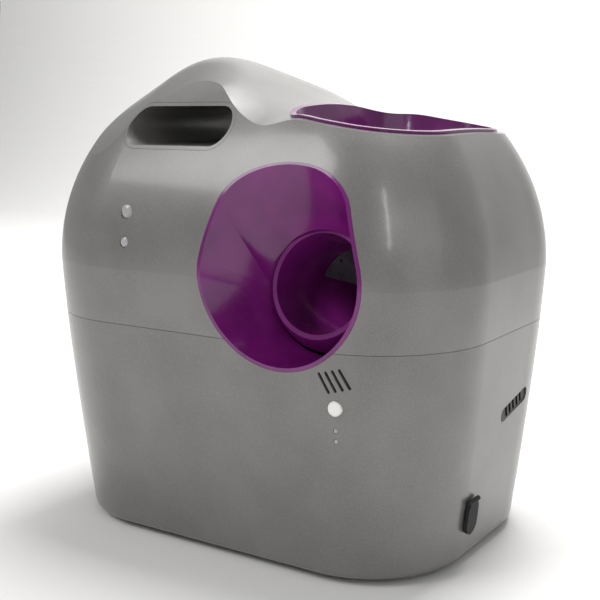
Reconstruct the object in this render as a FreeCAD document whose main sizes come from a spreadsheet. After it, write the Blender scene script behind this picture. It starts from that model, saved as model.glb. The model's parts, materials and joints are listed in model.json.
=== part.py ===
"""Automatic dog ball launcher: a free-standing case with a carrying slot, a ball hopper,
a spring launch unit that tilts behind the mouth, and a battery base.

Frame: +Z up, the mouth looks along -Y, +X is to the right of someone facing the mouth.
The origin lies on the floor under the middle of the case. Lengths are millimetres.
"""
import FreeCAD, Part
import math
import os
import re

import Sketcher

Vector = FreeCAD.Vector
doc = FreeCAD.newDocument("BallLauncher")

# ---------------------------------------------------------------------------
# Driving dimensions
# ---------------------------------------------------------------------------
SIZES = {
    # case
    "case_height": 350, "belly_height": 200, "belly_half_width": 174, "base_half_width": 155,
    "belly_half_depth": 126, "base_half_depth": 110, "crown_spare": 15, "crown_spare_depth": 1.2,
    "corner_share": 0.66, "wall": 3, "floor_level": 4, "base_edge_radius": 6, "base_flare": 1.3,
    "parting_height": 160, "seam_gap": 0.3, "tongue_thickness": 1.8, "tongue_height": 4,
    "peak_side": 68, "peak_round": 62, "shoulder_fall": 0.52, "valley_side": 30, "valley_drop": 38,
    "rim_fall": 9, "peak_bend": 0.0104, "valley_bend": 0.0027, "rim_bend": 0.0009, "front_cut": 60,
    # carrying slot
    "slot_side": 39, "slot_drop": 51, "slot_length": 90, "slot_opening": 27, "slot_lining": 2.5,
    # ball and barrel
    "ball_diameter": 65, "barrel_bore": 68, "barrel_wall": 2, "barrel_side": 73,
    "pivot_depth": 62, "pivot_height": 190, "rest_tilt": 15, "barrel_length": 155,
    "ball_seat": 69, "pad_thickness": 2.3, "window_start": 30, "window_length": 80,
    "pivot_ball_radius": 46, "muzzle_reach": 27, "ball_tail": 24, "pin_gap": 11, "running_gap": 0.6,
    "pin_radius": 5, "bearing_gap": 0.05,
    # mouth
    "mouth_low_side": 60, "mouth_low_height": 207, "mouth_low_radius": 61.5,
    "mouth_top_side": 58, "mouth_top_height": 262, "mouth_top_radius": 50.5,
    "mouth_back": 20, "mouth_wall": 2.5, "fit_gap": 0.2,
    # hopper
    "hopper_left": 30, "hopper_inset": 6, "hopper_lip": 4, "hopper_wall": 2.5,
    "feed_depth": 10, "feed_radius": 36, "feed_top": 243, "feed_bottom": 226,
    # base
    "foot_radius": 11, "foot_recess": 2, "foot_spread": 104, "foot_reach": 62,
    "cell_radius": 16.5, "cell_length": 61, "cell_pitch": 34.5, "tray_wall": 2.5, "cell_base": 8,
    "door_thickness": 3, "door_gap": 0.4, "ear_width": 18, "ear_length": 11, "ear_screw": 6.5,
    "post_side": 126, "left_post_reach": 52, "right_post_reach": 20,
    "post_radius": 5, "post_end": 3, "head_channel": 3.4, "boss_drop": 9.7, "boss_height": 20,
    "rib_lift": 5, "head_radius": 2.8, "head_height": 1.6, "pilot_depth": 12,
    "screw_radius": 1.5, "deck_thickness": 3, "deck_half_width": 130, "deck_half_depth": 78,
    "stand_side": 94.5, "stand_reach": 70, "bracket_plate": 4, "bracket_reach": 14,
    "bracket_head": 11, "bracket_foot": 10,
    # launch drive
    "plunger_radius": 33.4, "plunger_thickness": 6, "cock_stroke": 26, "spring_turns": 6,
    "spring_wire": 1, "spring_radius": 22, "cap_wall": 3, "rack_module": 1.5, "rack_teeth": 10,
    "rack_side": 43, "rack_width": 7, "rack_line": 5, "sector_teeth": 24, "sector_kept": 8,
    "wheel_module": 1.25, "wheel_teeth": 40, "idler_pinion_teeth": 12, "motor_module": 1,
    "idler_teeth": 40, "motor_pinion_teeth": 10, "gear_width": 5, "shaft_radius": 2.5,
    "drive_axial": 88, "train_turn": 45, "motor_turn": 16, "motor_radius": 17.5,
    "motor_length": 50, "side_plate": 2.5,
    # aiming drive and dials
    "aim_module": 1.25, "aim_teeth": 60, "aim_pinion_teeth": 12, "aim_width": 5, "aim_kept": 10,
    "aim_stand_gap": 10, "aim_stand_foot": 16, "aim_stand_head": 8,
    "dial_radius": 26, "dial_thickness": 8, "dial_lobes": 6, "dial_gap": 1.5, "bezel_wall": 2.5,
    "bezel_depth": 9, "grip_height": 4, "grip_width": 8, "disc_thickness": 4.5,
    "power_dial_side": 73, "power_dial_height": 160, "dial_shaft_radius": 3, "pot_size": 8,
    # controls and electrics
    "button_side": 104, "button_drop": 21.5, "button_radius": 5, "button_travel": 1.5,
    "speaker_rise": 18, "speaker_radius": 12, "grille_slots": 4, "grille_pitch": 4.6,
    "grille_step": 1.2, "grille_length": 15, "grille_opening": 2, "grille_slope": 62,
    "lamp_radius": 1.5, "lamp_pitch": 7,
    "sensor_side": 65, "sensor_low": 219, "sensor_high": 240, "lens_radius": 5, "low_lens_radius": 3.6,
    "lens_proud": 0.9,
    "jack_reach": 35, "jack_height": 37, "jack_radius": 6, "flap_thickness": 2.5,
    "flap_gap": 1.2, "flap_hinge": 11.5, "flap_roll": 1.7, "flap_radius": 8, "flap_straight": 9,
    "vent_reach": 24, "vent_height": 103, "vent_length": 46, "vent_opening": 10, "vent_slope": 12,
    "vent_slit": 3.4, "vent_pitch": 6.4, "vent_rim": 1.5, "vent_sink": 0.8,
    "board_thickness": 1.6, "board_drop": 26, "stalk_radius": 2.6, "stalk_root": 1, "stalk_shift": 7,
    "board_lift": 6, "board_side": 62, "card_width": 22, "card_height": 44, "card_drop": 34,
    "sensor_card_width": 16, "sensor_card_height": 38, "sensor_card_drop": 14, "sensor_stalk_drop": 11,
    # ball lever
    "lever_lift": 9, "lever_hub": 2.5, "lever_pin": 1, "lever_span": 8.5, "arm_length": 15,
    "arm_width": 4, "arm_thickness": 1.6, "lever_wall": 3, "lever_roof": 22, "lever_clear": 5,
}

sheet = doc.addObject("Spreadsheet::Sheet", "Sizes")
for row, (alias, value) in enumerate(SIZES.items(), start=1):
    sheet.set(f"A{row}", alias.replace("_", " "))
    sheet.set(f"B{row}", str(value))
    sheet.setAlias(f"B{row}", alias)
doc.recompute()


def size(alias):
    """One driving dimension as a number, read from the sheet."""
    return float(getattr(sheet, alias))


def expression(text):
    """Turn 'wall + 2' into an expression on the sheet's cells."""
    def cell(match):
        word = match.group(0)
        return f"Sizes.{word}" if word in SIZES else word
    return re.sub(r"[a-z][a-z_]*", cell, str(text))


def spot(x="0", y="0", z="0", axis=(0, 0, 1), turn="0"):
    """Placement expression: a place, and a turn in degrees about one axis there."""
    ax, ay, az = axis
    return expression(f"placement(vector({x}; {y}; {z}); rotation(vector({ax}; {ay}; {az}); {turn}))")


def value_of(text):
    """The number that an expression on the sheet gives now."""
    return float(sheet.evalExpression(expression(text)))


CROWN = "(case_height - belly_height + crown_spare)"
CROWN_DEPTH = "(case_height - belly_height + crown_spare_depth)"
VALLEY = "(case_height - valley_drop)"
SLOT_HEIGHT = "(case_height - slot_drop)"
BUTTON_HEIGHT = "(mouth_low_height - mouth_low_radius - button_drop)"
SPEAKER_HEIGHT = f"({BUTTON_HEIGHT} + speaker_rise)"
ALONG_X = {"axis": (0, 1, 0), "turn": "90"}
ALONG_Y = {"axis": (1, 0, 0), "turn": "-90"}

part_labels = []


def finished(obj, label):
    """Name an object as a sub-part that gets a file of its own."""
    obj.Label = label
    part_labels.append((label, obj.Name))
    return obj


# ---------------------------------------------------------------------------
# Case form: rounded sections whose half width and half depth follow the height
# ---------------------------------------------------------------------------
def half_extent(height, base, belly, rise, inset):
    """Half extent of the case: a flared base below the belly, an ellipse above it."""
    above = height - size("belly_height")
    if above <= 0:
        flare = (-above / size("belly_height")) ** size("base_flare")
        return belly - inset - (belly - base) * flare
    return (belly - inset) * math.sqrt(1 - (above / (rise - inset)) ** 2)


def half_width(height, inset=0):
    return half_extent(height, size("base_half_width"), size("belly_half_width"),
                       value_of(CROWN), inset)


def half_depth(height, inset=0):
    return half_extent(height, size("base_half_depth"), size("belly_half_depth"),
                       value_of(CROWN_DEPTH), inset)


def rounded_rectangle(left, right, reach, radius, height):
    """Closed level outline from left to right in X and within reach in Y, four arcs in its corners."""
    diagonal = radius * (1 - math.sqrt(0.5))
    edges = []
    corners = [(right, reach, -1, -1), (left, reach, 1, -1), (left, -reach, 1, 1), (right, -reach, -1, 1)]
    starts, ends = [], []
    for index, (x, y, inward_x, inward_y) in enumerate(corners):
        on_side = Vector(x, y + inward_y * radius, height)
        on_front = Vector(x + inward_x * radius, y, height)
        middle = Vector(x + inward_x * diagonal, y + inward_y * diagonal, height)
        first, last = (on_side, on_front) if index % 2 == 0 else (on_front, on_side)
        starts.append(first)
        ends.append(last)
        edges.append(Part.Arc(first, middle, last).toShape())
    for index in range(4):
        edges.insert(2 * index + 1, Part.LineSegment(ends[index], starts[(index + 1) % 4]).toShape())
    return Part.Wire(edges)


def skin_section(height, inset=0):
    """Outline of the case at one height, drawn in by inset."""
    width, depth = half_width(height, inset), half_depth(height, inset)
    return rounded_rectangle(-width, width, depth, size("corner_share") * depth, height)


def skin_solid(inset=0):
    """The whole case as one solid, drawn in by inset: evenly spaced sections up to the belly,
    then sections that crowd together towards the crown."""
    bottom, belly = size("floor_level") + inset, size("belly_height")
    top = size("case_height") + 0.5 - inset
    below = [bottom + (belly - bottom) * step / 4 for step in range(5)]
    above = [belly + (top - belly) * math.sin(math.radians(15 * step)) for step in range(7)]
    lower, upper = (Part.makeLoft([skin_section(level, inset) for level in levels], True)
                    for levels in (below, above))
    return lower.fuse(upper)


def eased(share):
    """A smooth step from 0 to 1."""
    share = min(max(share, 0), 1)
    return share * share * (3 - 2 * share)


def crest(side):
    """Height of the top line over the middle: a straight shoulder, the round peak, the flank down to
    the valley, and the hopper's sloping rim."""
    peak, valley, top = -size("peak_side"), size("valley_side"), size("case_height")
    shoulder = peak - size("shoulder_fall") * size("peak_round") / 2
    fall = math.tan(math.radians(size("rim_fall")))
    if side < shoulder:
        return top - (peak - shoulder) ** 2 / size("peak_round") - size("shoulder_fall") * (shoulder - side)
    if side < peak:
        return top - (peak - side) ** 2 / size("peak_round")
    if side < valley:
        share = (side - peak) / (valley - peak)
        return (top + (value_of(VALLEY) - top) * eased(share)
                + (valley - peak) * fall * share ** 2 * (1 - share))
    return rim_height(side)


def bend(side):
    """How strongly the top curves down to the front and back at a distance to the side, per mm."""
    peak, valley, rim = size("peak_bend"), size("valley_bend"), size("rim_bend")
    past_peak = (side + size("peak_side")) / (size("peak_side") + size("valley_side")) * 1.8
    past_valley = (side - size("valley_side")) / size("valley_side")
    return peak + (valley - peak) * eased(past_peak) + (rim - valley) * eased(past_valley)


def above_top(lift=0):
    """Everything above the case's saddle-shaped top, raised by lift."""
    reach_x, reach_y = 1.2 * size("belly_half_width"), 1.2 * size("belly_half_depth")
    grid = []
    for column in range(-20, 21):
        x = reach_x * column / 20
        row = []
        for line in range(-4, 5):
            y = reach_y * line / 4
            row.append(Vector(x, y, crest(x) - bend(x) * y * y / 2 + lift))
        grid.append(row)
    top = Part.BSplineSurface()
    top.interpolate(grid)
    return top.toShape().extrude(Vector(0, 0, size("case_height")))


def rim_height(side):
    """Height of the hopper's sloping rim at a distance to the right."""
    fall = math.tan(math.radians(size("rim_fall")))
    return value_of(VALLEY) - (side - size("valley_side")) * fall


def round_stretch(low, top, depth):
    """Upright outline around two circles given as (side, height, radius), at one depth."""
    low_x, low_z, low_radius = low
    top_x, top_z, top_radius = top
    low_centre, top_centre = Vector(low_x, depth, low_z), Vector(top_x, depth, top_z)
    along = top_centre - low_centre
    lean = math.atan2(along.z, along.x)
    spread = math.acos((low_radius - top_radius) / along.Length)

    def around(centre, radius, angle):
        return centre + Vector(math.cos(angle), 0, math.sin(angle)) * radius

    left_low = around(low_centre, low_radius, lean + spread)
    left_top = around(top_centre, top_radius, lean + spread)
    right_top = around(top_centre, top_radius, lean - spread)
    right_low = around(low_centre, low_radius, lean - spread)
    return Part.Wire([
        Part.LineSegment(left_low, left_top).toShape(),
        Part.Arc(left_top, around(top_centre, top_radius, lean), right_top).toShape(),
        Part.LineSegment(right_top, right_low).toShape(),
        Part.Arc(right_low, around(low_centre, low_radius, lean + math.pi), left_low).toShape(),
    ])


def mouth_form(grow):
    """Funnel from the mouth's outline in the front wall back to the pivot ball, grown by grow."""
    front = -(size("belly_half_depth") + size("base_edge_radius"))
    back = -(size("pivot_depth") + size("mouth_back"))
    ball = size("pivot_ball_radius") + size("running_gap")
    socket = math.sqrt(ball ** 2 - size("mouth_back") ** 2) + grow
    low = (size("mouth_low_side"), size("mouth_low_height"), size("mouth_low_radius") + grow)
    top = (size("mouth_top_side"), size("mouth_top_height"), size("mouth_top_radius") + grow)
    side, height, apart = size("barrel_side"), size("pivot_height"), size("running_gap")
    return Part.makeLoft([
        round_stretch(low, top, front),
        round_stretch((side, height - apart, socket), (side, height, socket), back),
    ], True)


def hopper_form(grow):
    """The hopper's funnel from above the rim down to the round feed hole, grown by grow."""
    rim = rim_height(size("valley_side"))
    feed_side, feed_depth = size("barrel_side"), size("feed_depth")
    radius = size("feed_radius")
    left = size("hopper_left")
    right = half_width(rim_height(half_width(rim))) - size("hopper_inset")
    reach = half_depth(rim_height(feed_side)) - size("hopper_inset")
    corner = min(size("corner_share") * reach, 0.45 * (right - left))

    def level(height, share):
        """Section at a height, between the feed hole at share 0 and the rim at share 1."""
        def between(at_feed, at_rim):
            return at_feed + (at_rim - at_feed) * share
        middle_y = between(feed_depth, 0)
        wire = rounded_rectangle(between(feed_side - radius, left) - grow,
                                 between(feed_side + radius, right) + grow,
                                 between(radius, reach) + grow,
                                 between(radius * 0.98, corner) + grow, height)
        wire.translate(Vector(0, middle_y, 0))
        return wire
    span = rim - size("feed_top")
    bowl = Part.makeLoft([level(size("feed_top"), 0), level(size("feed_top") + span * 0.3, 0.62),
                          level(size("feed_top") + span * 0.65, 0.92), level(rim, 1),
                          level(rim + span * 0.35, 1.02)], True)
    feed = Part.makeCylinder(radius + grow, size("feed_top") - size("feed_bottom") + 2,
                             Vector(feed_side, feed_depth, size("feed_bottom")))
    return bowl.fuse(feed).removeSplitter()


def slot_form(grow):
    """The carrying slot's rounded bar right through the case, grown by grow."""
    radius = size("slot_opening") / 2 + grow
    half = (size("slot_length") - size("slot_opening")) / 2
    reach = size("belly_half_depth")
    wire = round_stretch((-size("slot_side") - half, value_of(SLOT_HEIGHT), radius),
                         (-size("slot_side") + half, value_of(SLOT_HEIGHT), radius), -reach)
    return Part.Face(wire).extrude(Vector(0, 2 * reach, 0))


def half_space(bottom, top):
    """A block wider than the case between two heights."""
    wide = 2 * size("belly_half_width")
    return Part.makeBox(2 * wide, 2 * wide, top - bottom, Vector(-wide, -wide, bottom))


def shape_part(label, shape):
    """A sub-part whose shape is computed from the sheet's sizes."""
    feature = doc.addObject("Part::Feature", label)
    feature.Shape = shape
    return finished(feature, label)


# ---------------------------------------------------------------------------
# Case halves and the pieces that line their openings
# ---------------------------------------------------------------------------
def rounded_bottom(solid):
    """Round the edge where the case's side turns into its floor."""
    low = [edge for edge in solid.Edges if edge.BoundBox.ZMax < size("floor_level") + 0.01]
    return solid.makeFillet(size("base_edge_radius"), low)


SKIN = rounded_bottom(skin_solid()).cut(above_top())
CAVITY = skin_solid(size("wall")).cut(above_top(-1.4 * size("wall")))
LINED = size("mouth_wall") + size("fit_gap")


def upright(radius, bottom, top, side, reach):
    """A standing cylinder between two heights."""
    return Part.makeCylinder(radius, top - bottom, Vector(side, reach, bottom))


def across(radius, side, height, start, end):
    """A cylinder along Y between two depths."""
    return Part.makeCylinder(radius, end - start, Vector(side, start, height), Vector(0, 1, 0))


def sideways(radius, reach, height, start, end):
    """A cylinder along X between two sides."""
    return Part.makeCylinder(radius, end - start, Vector(start, reach, height), Vector(1, 0, 0))


POSTS = tuple((f"{side}post_side", f"{end}{hand}_post_reach")
              for side, hand in (("-", "left"), ("", "right")) for end in ("-", ""))


def post_places():
    return [(value_of(side), value_of(reach)) for side, reach in POSTS]


def front_bar(side, height, length, opening, slope):
    """A short rounded bar along Y for a slot in the front wall."""
    half = (length - opening) / 2
    start = -2 * size("belly_half_depth")
    wire = round_stretch((side - half, height, opening / 2), (side + half, height, opening / 2), start)
    wire.rotate(Vector(side, 0, height), Vector(0, 1, 0), slope)
    return Part.Face(wire).extrude(Vector(0, -size("front_cut") - start, 0))


def vent_form(grow, start, end):
    """The slanted slot in the right wall between two distances to the side."""
    half = (size("vent_length") - size("vent_opening")) / 2
    radius = size("vent_opening") / 2 + grow
    wire = round_stretch((size("vent_reach") - half, size("vent_height"), radius),
                         (size("vent_reach") + half, size("vent_height"), radius), 0)
    wire.rotate(Vector(0, 0, 0), Vector(0, 0, 1), 90)
    wire.translate(Vector(start, 0, 0))
    wire.rotate(Vector(start, size("vent_reach"), size("vent_height")), Vector(1, 0, 0), size("vent_slope"))
    return Part.Face(wire).extrude(Vector(end - start, 0, 0))


BEZEL = size("dial_radius") + size("dial_gap") + size("bezel_wall")
SENSORS = (("lower", "sensor_low", "low_lens_radius"), ("upper", "sensor_high", "lens_radius"))


def lamp_height(index):
    """Height of one of the two lamps under the button, as an expression."""
    return f"({BUTTON_HEIGHT} - 3 * button_radius - lamp_pitch * {index})"


def case_openings():
    """All that is cut out of both case halves."""
    far_side, far_reach = 2 * size("belly_half_width"), 2 * size("belly_half_depth")
    past_posts = size("post_side") + size("post_radius") + 1
    tools = [
        mouth_form(LINED),
        slot_form(size("slot_lining") + size("fit_gap")),
        hopper_form(size("hopper_wall") + size("fit_gap")),
        sideways(BEZEL + size("fit_gap"), value_of(AIM_CENTRE), size("pivot_height"), -far_side,
                 -past_posts),
        across(BEZEL + size("fit_gap"), size("power_dial_side"), size("power_dial_height"),
               size("belly_half_depth") / 2, far_reach),
        across(size("button_radius") + size("fit_gap"), size("button_side"), value_of(BUTTON_HEIGHT),
               -far_reach, -size("front_cut")),
        vent_form(size("fit_gap"), past_posts, far_side),
        sideways(size("jack_radius") + size("fit_gap"), -size("jack_reach"), size("jack_height"),
                 past_posts, far_side),
    ]
    for _, height, radius in SENSORS:
        tools.append(across(size(radius) + size("fit_gap"), -size("sensor_side"), size(height),
                            -far_reach, -size("front_cut")))
    for index in range(2):
        tools.append(across(size("lamp_radius") + size("fit_gap"), size("button_side"),
                            value_of(lamp_height(index)), -far_reach, -size("front_cut")))
    for index in range(round(size("grille_slots"))):
        place = index - (size("grille_slots") - 1) / 2
        tools.append(front_bar(size("button_side") + place * size("grille_pitch"),
                               value_of(SPEAKER_HEIGHT) + place * size("grille_step"),
                               size("grille_length"), size("grille_opening"), size("grille_slope")))
    return tools


def upper_shell():
    seam = size("parting_height") + size("seam_gap") / 2
    shell = SKIN.cut(CAVITY).common(half_space(seam, 2 * size("case_height")))
    boss_top = seam + size("boss_height")
    bosses = []
    for side, reach in post_places():
        boss = upright(size("post_radius"), seam - size("boss_drop"), boss_top, side, reach)
        rib = Part.makeBox(abs(side), size("wall"), size("boss_height") - size("rib_lift"),
                           Vector(min(side, 2 * side), reach - size("wall") / 2, seam + size("rib_lift")))
        bosses.append(boss.fuse(rib.common(SKIN)))
    height = size("sensor_low") - size("sensor_stalk_drop")
    stalk = across(size("stalk_radius"), -size("sensor_side"), height,
                   size("stalk_root") - half_depth(height), value_of(SENSOR_CARD_FACE))
    shell = shell.fuse(bosses + [stalk])
    pilots = [upright(size("screw_radius"), 0, boss_top - size("wall"), side, reach)
              for side, reach in post_places()]
    return shell.cut(case_openings() + pilots).removeSplitter()


def inner_band(inset, bottom, top):
    """A band that follows the wall's inside between two heights, out to one inset."""
    thin = size("wall") + size("seam_gap") + size("tongue_thickness")
    return skin_solid(inset).common(half_space(bottom, top)).cut(skin_solid(thin))


def lower_shell():
    seam = size("parting_height") - size("seam_gap") / 2
    root, tip = seam - 2 * size("wall"), seam + size("tongue_height")
    tongue = inner_band(size("wall") - 0.5, root, seam - 0.5)
    tongue = tongue.fuse(inner_band(size("wall") + size("seam_gap"), root, tip))
    shell = SKIN.cut(CAVITY).common(half_space(0, seam)).fuse(tongue)
    floor_top = size("floor_level") + size("wall")
    post_top = seam - size("boss_drop") - size("seam_gap")
    posts = [upright(size("post_radius"), floor_top - 1, post_top, side, reach)
             for side, reach in post_places()]
    stands = [upright(size("post_radius"), floor_top - 1, deck_bottom(), side, reach)
              for side, reach in stand_places()]
    height = value_of(BUTTON_HEIGHT) - size("board_drop")
    stalks = [across(size("stalk_radius"), side, height,
                     value_of(front_wall(str(side), str(height))) + size("stalk_root"),
                     value_of(BOARD_FACE))
              for side in (size("button_side") - size("stalk_shift"),
                           size("button_side") + size("stalk_shift"))]
    shell = shell.fuse(posts + stands + stalks)
    cuts = case_openings()
    for side, reach in post_places():
        cuts.append(upright(size("head_channel"), 0, post_top - size("post_end"), side, reach))
        cuts.append(upright(size("screw_radius") + size("fit_gap"), 0, seam, side, reach))
    for side, reach in stand_places():
        cuts.append(upright(size("screw_radius"), deck_bottom() - size("pilot_depth"),
                            deck_bottom() + 1, side, reach))
    for side, reach in foot_places():
        cuts.append(upright(size("foot_radius") + size("fit_gap"), 0,
                            size("floor_level") + size("foot_recess"), side, reach))
    cuts.append(battery_opening())
    return shell.cut(cuts).removeSplitter()


# ---------------------------------------------------------------------------
# Ways of making the other sub-parts, every size bound to the sheet
# ---------------------------------------------------------------------------
def primitive(kind, name, properties, place):
    obj = doc.addObject(f"Part::{kind}", name)
    for prop, text in properties.items():
        obj.setExpression(prop, expression(text))
    obj.setExpression("Placement", spot(**place))
    return obj


def cylinder(name, radius, length, **place):
    return primitive("Cylinder", name, {"Radius": radius, "Height": length}, place)


def box(name, length, width, height, **place):
    """A block that starts at its place and grows towards +X, +Y and +Z."""
    return primitive("Box", name, {"Length": length, "Width": width, "Height": height}, place)


def joined(name, pieces):
    obj = doc.addObject("Part::MultiFuse", name)
    obj.Shapes = pieces
    return obj


def carved(name, base, tools):
    obj = doc.addObject("Part::Cut", name)
    obj.Base = base
    obj.Tool = tools[0] if len(tools) == 1 else joined(name + "_tools", tools)
    return obj


def set_in(obj, **place):
    """Bind an object's own place, such as the tilted frame of the launch unit."""
    obj.setExpression("Placement", spot(**place))
    return obj


def origin_plane(body, role):
    return next(feature for feature in body.Origin.OriginFeatures if feature.Role == role)


def sketch_on(body, role, name):
    sketch = body.newObject("Sketcher::SketchObject", name)
    sketch.AttachmentSupport = [(origin_plane(body, role), "")]
    sketch.MapMode = "FlatFace"
    return sketch


def pin_point(sketch, geometry, end, x, y):
    """Tie one sketch point to expressions for its place from the sketch's origin."""
    for kind, text, axis in (("DistanceX", x, -2), ("DistanceY", y, -1)):
        if str(text) == "0":
            sketch.addConstraint(Sketcher.Constraint("PointOnObject", geometry, end, axis))
        else:
            index = sketch.addConstraint(Sketcher.Constraint(kind, -1, 1, geometry, end, value_of(text)))
            sketch.setExpression(f"Constraints[{index}]", expression(text))


def draw_outline(sketch, points):
    """A closed outline of straight lines, each corner tied to its own expressions."""
    first = sketch.GeometryCount
    spots = [Vector(value_of(x), value_of(y), 0) for x, y in points]
    count = len(points)
    for index in range(count):
        sketch.addGeometry(Part.LineSegment(spots[index], spots[(index + 1) % count]), False)
    for index in range(count):
        sketch.addConstraint(Sketcher.Constraint("Coincident", first + index, 2,
                                                 first + (index + 1) % count, 1))
    for index, (x, y) in enumerate(points):
        pin_point(sketch, first + index, 1, x, y)


def draw_circle(sketch, radius, x="0", y="0"):
    centre = Vector(value_of(x), value_of(y), 0)
    index = sketch.addGeometry(Part.Circle(centre, Vector(0, 0, 1), value_of(radius)), False)
    rule = sketch.addConstraint(Sketcher.Constraint("Radius", index, value_of(radius)))
    sketch.setExpression(f"Constraints[{rule}]", expression(radius))
    if (str(x), str(y)) == ("0", "0"):
        sketch.addConstraint(Sketcher.Constraint("Coincident", index, 3, -1, 1))
    else:
        pin_point(sketch, index, 3, x, y)


def pad(body, sketch, length, name):
    feature = body.newObject("PartDesign::Pad", name)
    feature.Profile = sketch
    feature.setExpression("Length", expression(length))
    return feature


TURNING = {"X": ("XY_Plane", "H_Axis"), "Y": ("XY_Plane", "V_Axis"), "Z": ("XZ_Plane", "V_Axis")}


def turned(label, about, points, **place):
    """A piece turned about one of its own axes, from an outline of (radius, distance along) corners."""
    role, axis = TURNING[about]
    body = doc.addObject("PartDesign::Body", label)
    sketch = sketch_on(body, role, label + "_outline")
    draw_outline(sketch, [(along, radius) for radius, along in points] if about == "X" else points)
    turn = body.newObject("PartDesign::Revolution", label + "_turn")
    turn.Profile = sketch
    turn.ReferenceAxis = (sketch, [axis])
    turn.Angle = 360
    body.setExpression("Placement", spot(**place))
    return body


def aimed(x="0", along="0", above="0", turn="0"):
    """Place in the launch unit's tilted frame: behind the pivot along the barrel, and above its axis."""
    return {"x": f"barrel_side + ({x})",
            "y": f"-pivot_depth + ({along}) * cos(rest_tilt) + ({above}) * sin(rest_tilt)",
            "z": f"pivot_height - ({along}) * sin(rest_tilt) + ({above}) * cos(rest_tilt)",
            "axis": (1, 0, 0), "turn": f"({turn}) - rest_tilt"}


def plate(label, role, points, thickness, holes=(), **place):
    """A flat piece padded from an outline on one of its origin planes, with round holes."""
    body = doc.addObject("PartDesign::Body", label)
    sketch = sketch_on(body, role, label + "_outline")
    draw_outline(sketch, points)
    for radius, x, y in holes:
        draw_circle(sketch, radius, x, y)
    pad(body, sketch, thickness, label + "_pad")
    body.setExpression("Placement", spot(**place))
    return body


def gear_body(label, teeth, module, width, bore, kept="", **place):
    """A spur gear on an axis along X: a root disc with a bore, and one tooth repeated around it.

    The tooth is two thirds as wide at its tip as at the pitch circle. kept is the number of teeth
    on a gear that is only partly toothed; the pattern then covers just those.
    """
    body = doc.addObject("PartDesign::Body", label)
    disc = sketch_on(body, "YZ_Plane", label + "_disc")
    root, tip = f"{module} * ({teeth} / 2 - 1.2)", f"{module} * ({teeth} / 2 + 0.9)"
    draw_circle(disc, root)
    draw_circle(disc, bore)
    pad(body, disc, width, label + "_disc_pad")
    tooth = sketch_on(body, "YZ_Plane", label + "_tooth")
    foot, crown = f"{module} * 0.95", f"{module} * 0.36"
    draw_outline(tooth, [(f"{root} - {module} * 0.3", f"-({foot})"), (tip, f"-({crown})"),
                         (tip, crown), (f"{root} - {module} * 0.3", foot)])
    tooth_pad = pad(body, tooth, width, label + "_tooth_pad")
    ring = body.newObject("PartDesign::PolarPattern", label + "_teeth")
    ring.Originals = [tooth_pad]
    ring.Axis = (disc, ["N_Axis"])
    count = kept or teeth
    ring.setExpression("Occurrences", expression(count))
    if kept:
        ring.setExpression("Angle", expression(f"360 / {teeth} * ({kept} - 1)"))
    else:
        ring.Angle = 360
    body.Tip = ring
    body.setExpression("Placement", spot(**place))
    return body


def ring_points(inner, outer, start, end):
    """Outline of a plain ring for turned()."""
    return [(inner, start), (outer, start), (outer, end), (inner, end)]


def bar_points(x_start, x_end, y_start, y_end):
    """Outline of a rectangle for plate()."""
    return [(x_start, y_start), (x_end, y_start), (x_end, y_end), (x_start, y_end)]


# ---------------------------------------------------------------------------
# Base: feet, batteries, deck
# ---------------------------------------------------------------------------
CELL_BAY = "(1.5 * cell_pitch + 2)"
BAY_REACH = "(cell_length + 1.5)"
EAR_REACH = "(cell_length + ear_length)"
DOOR_SCREW = "(cell_length + ear_screw)"
SHANK = "(screw_radius - bearing_gap)"
ROOF = "(cell_base + 2 * cell_radius + 0.5)"
DECK_BOTTOM = f"({ROOF} + tray_wall)"
DECK_TOP = f"({DECK_BOTTOM} + deck_thickness)"


def deck_bottom():
    return value_of(DECK_BOTTOM)


def foot_places():
    return [(side * size("foot_spread"), reach * size("foot_reach"))
            for side in (-1, 1) for reach in (-1, 1)]


def stand_places():
    return [(side * size("stand_side"), reach * size("stand_reach"))
            for side in (-1, 1) for reach in (-1, 1)]


def battery_opening():
    bay = Part.makeBox(2 * value_of(CELL_BAY), 2 * value_of(BAY_REACH), size("cell_base"),
                       Vector(-value_of(CELL_BAY), -value_of(BAY_REACH), 0))
    ears = Part.makeBox(size("ear_width"), 2 * value_of(EAR_REACH), size("cell_base"),
                        Vector(-size("ear_width") / 2, -value_of(EAR_REACH), 0))
    return bay.fuse(ears)


def feet():
    for end, reach_sign in (("front", "-"), ("rear", "")):
        for side, side_sign in (("left", "-"), ("right", "")):
            label = f"foot_{end}_{side}"
            foot = turned(label, "Z", [("0", "0"), ("foot_radius - 1.5", "0"), ("foot_radius", "1.5"),
                                       ("foot_radius", "floor_level + foot_recess"),
                                       ("0", "floor_level + foot_recess")],
                          x=f"{side_sign}foot_spread", y=f"{reach_sign}foot_reach")
            finished(foot, label)


def battery_door():
    leaf = box("door_leaf", f"2 * {CELL_BAY} - 2 * door_gap", f"2 * {BAY_REACH} - 2 * door_gap",
               "door_thickness", x=f"-{CELL_BAY} + door_gap", y=f"-{BAY_REACH} + door_gap", z="floor_level")
    ears = box("door_ears", "ear_width - 2 * door_gap", f"2 * {EAR_REACH} - 2 * door_gap",
               "door_thickness", x="-ear_width / 2 + door_gap", y=f"-{EAR_REACH} + door_gap",
               z="floor_level")
    holes = [cylinder(f"door_hole_{index}", "screw_radius + fit_gap", "2 * door_thickness",
                      y=f"{sign}{DOOR_SCREW}", z="floor_level - 1")
             for index, sign in enumerate(("-", ""))]
    seats = [cylinder(f"door_seat_{index}", "head_radius + fit_gap", "head_height + fit_gap / 2",
                      y=f"{sign}{DOOR_SCREW}", z="floor_level - fit_gap")
             for index, sign in enumerate(("-", ""))]
    finished(carved("door_plate", joined("door_blank", [leaf, ears]), holes + seats), "battery_door")


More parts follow.
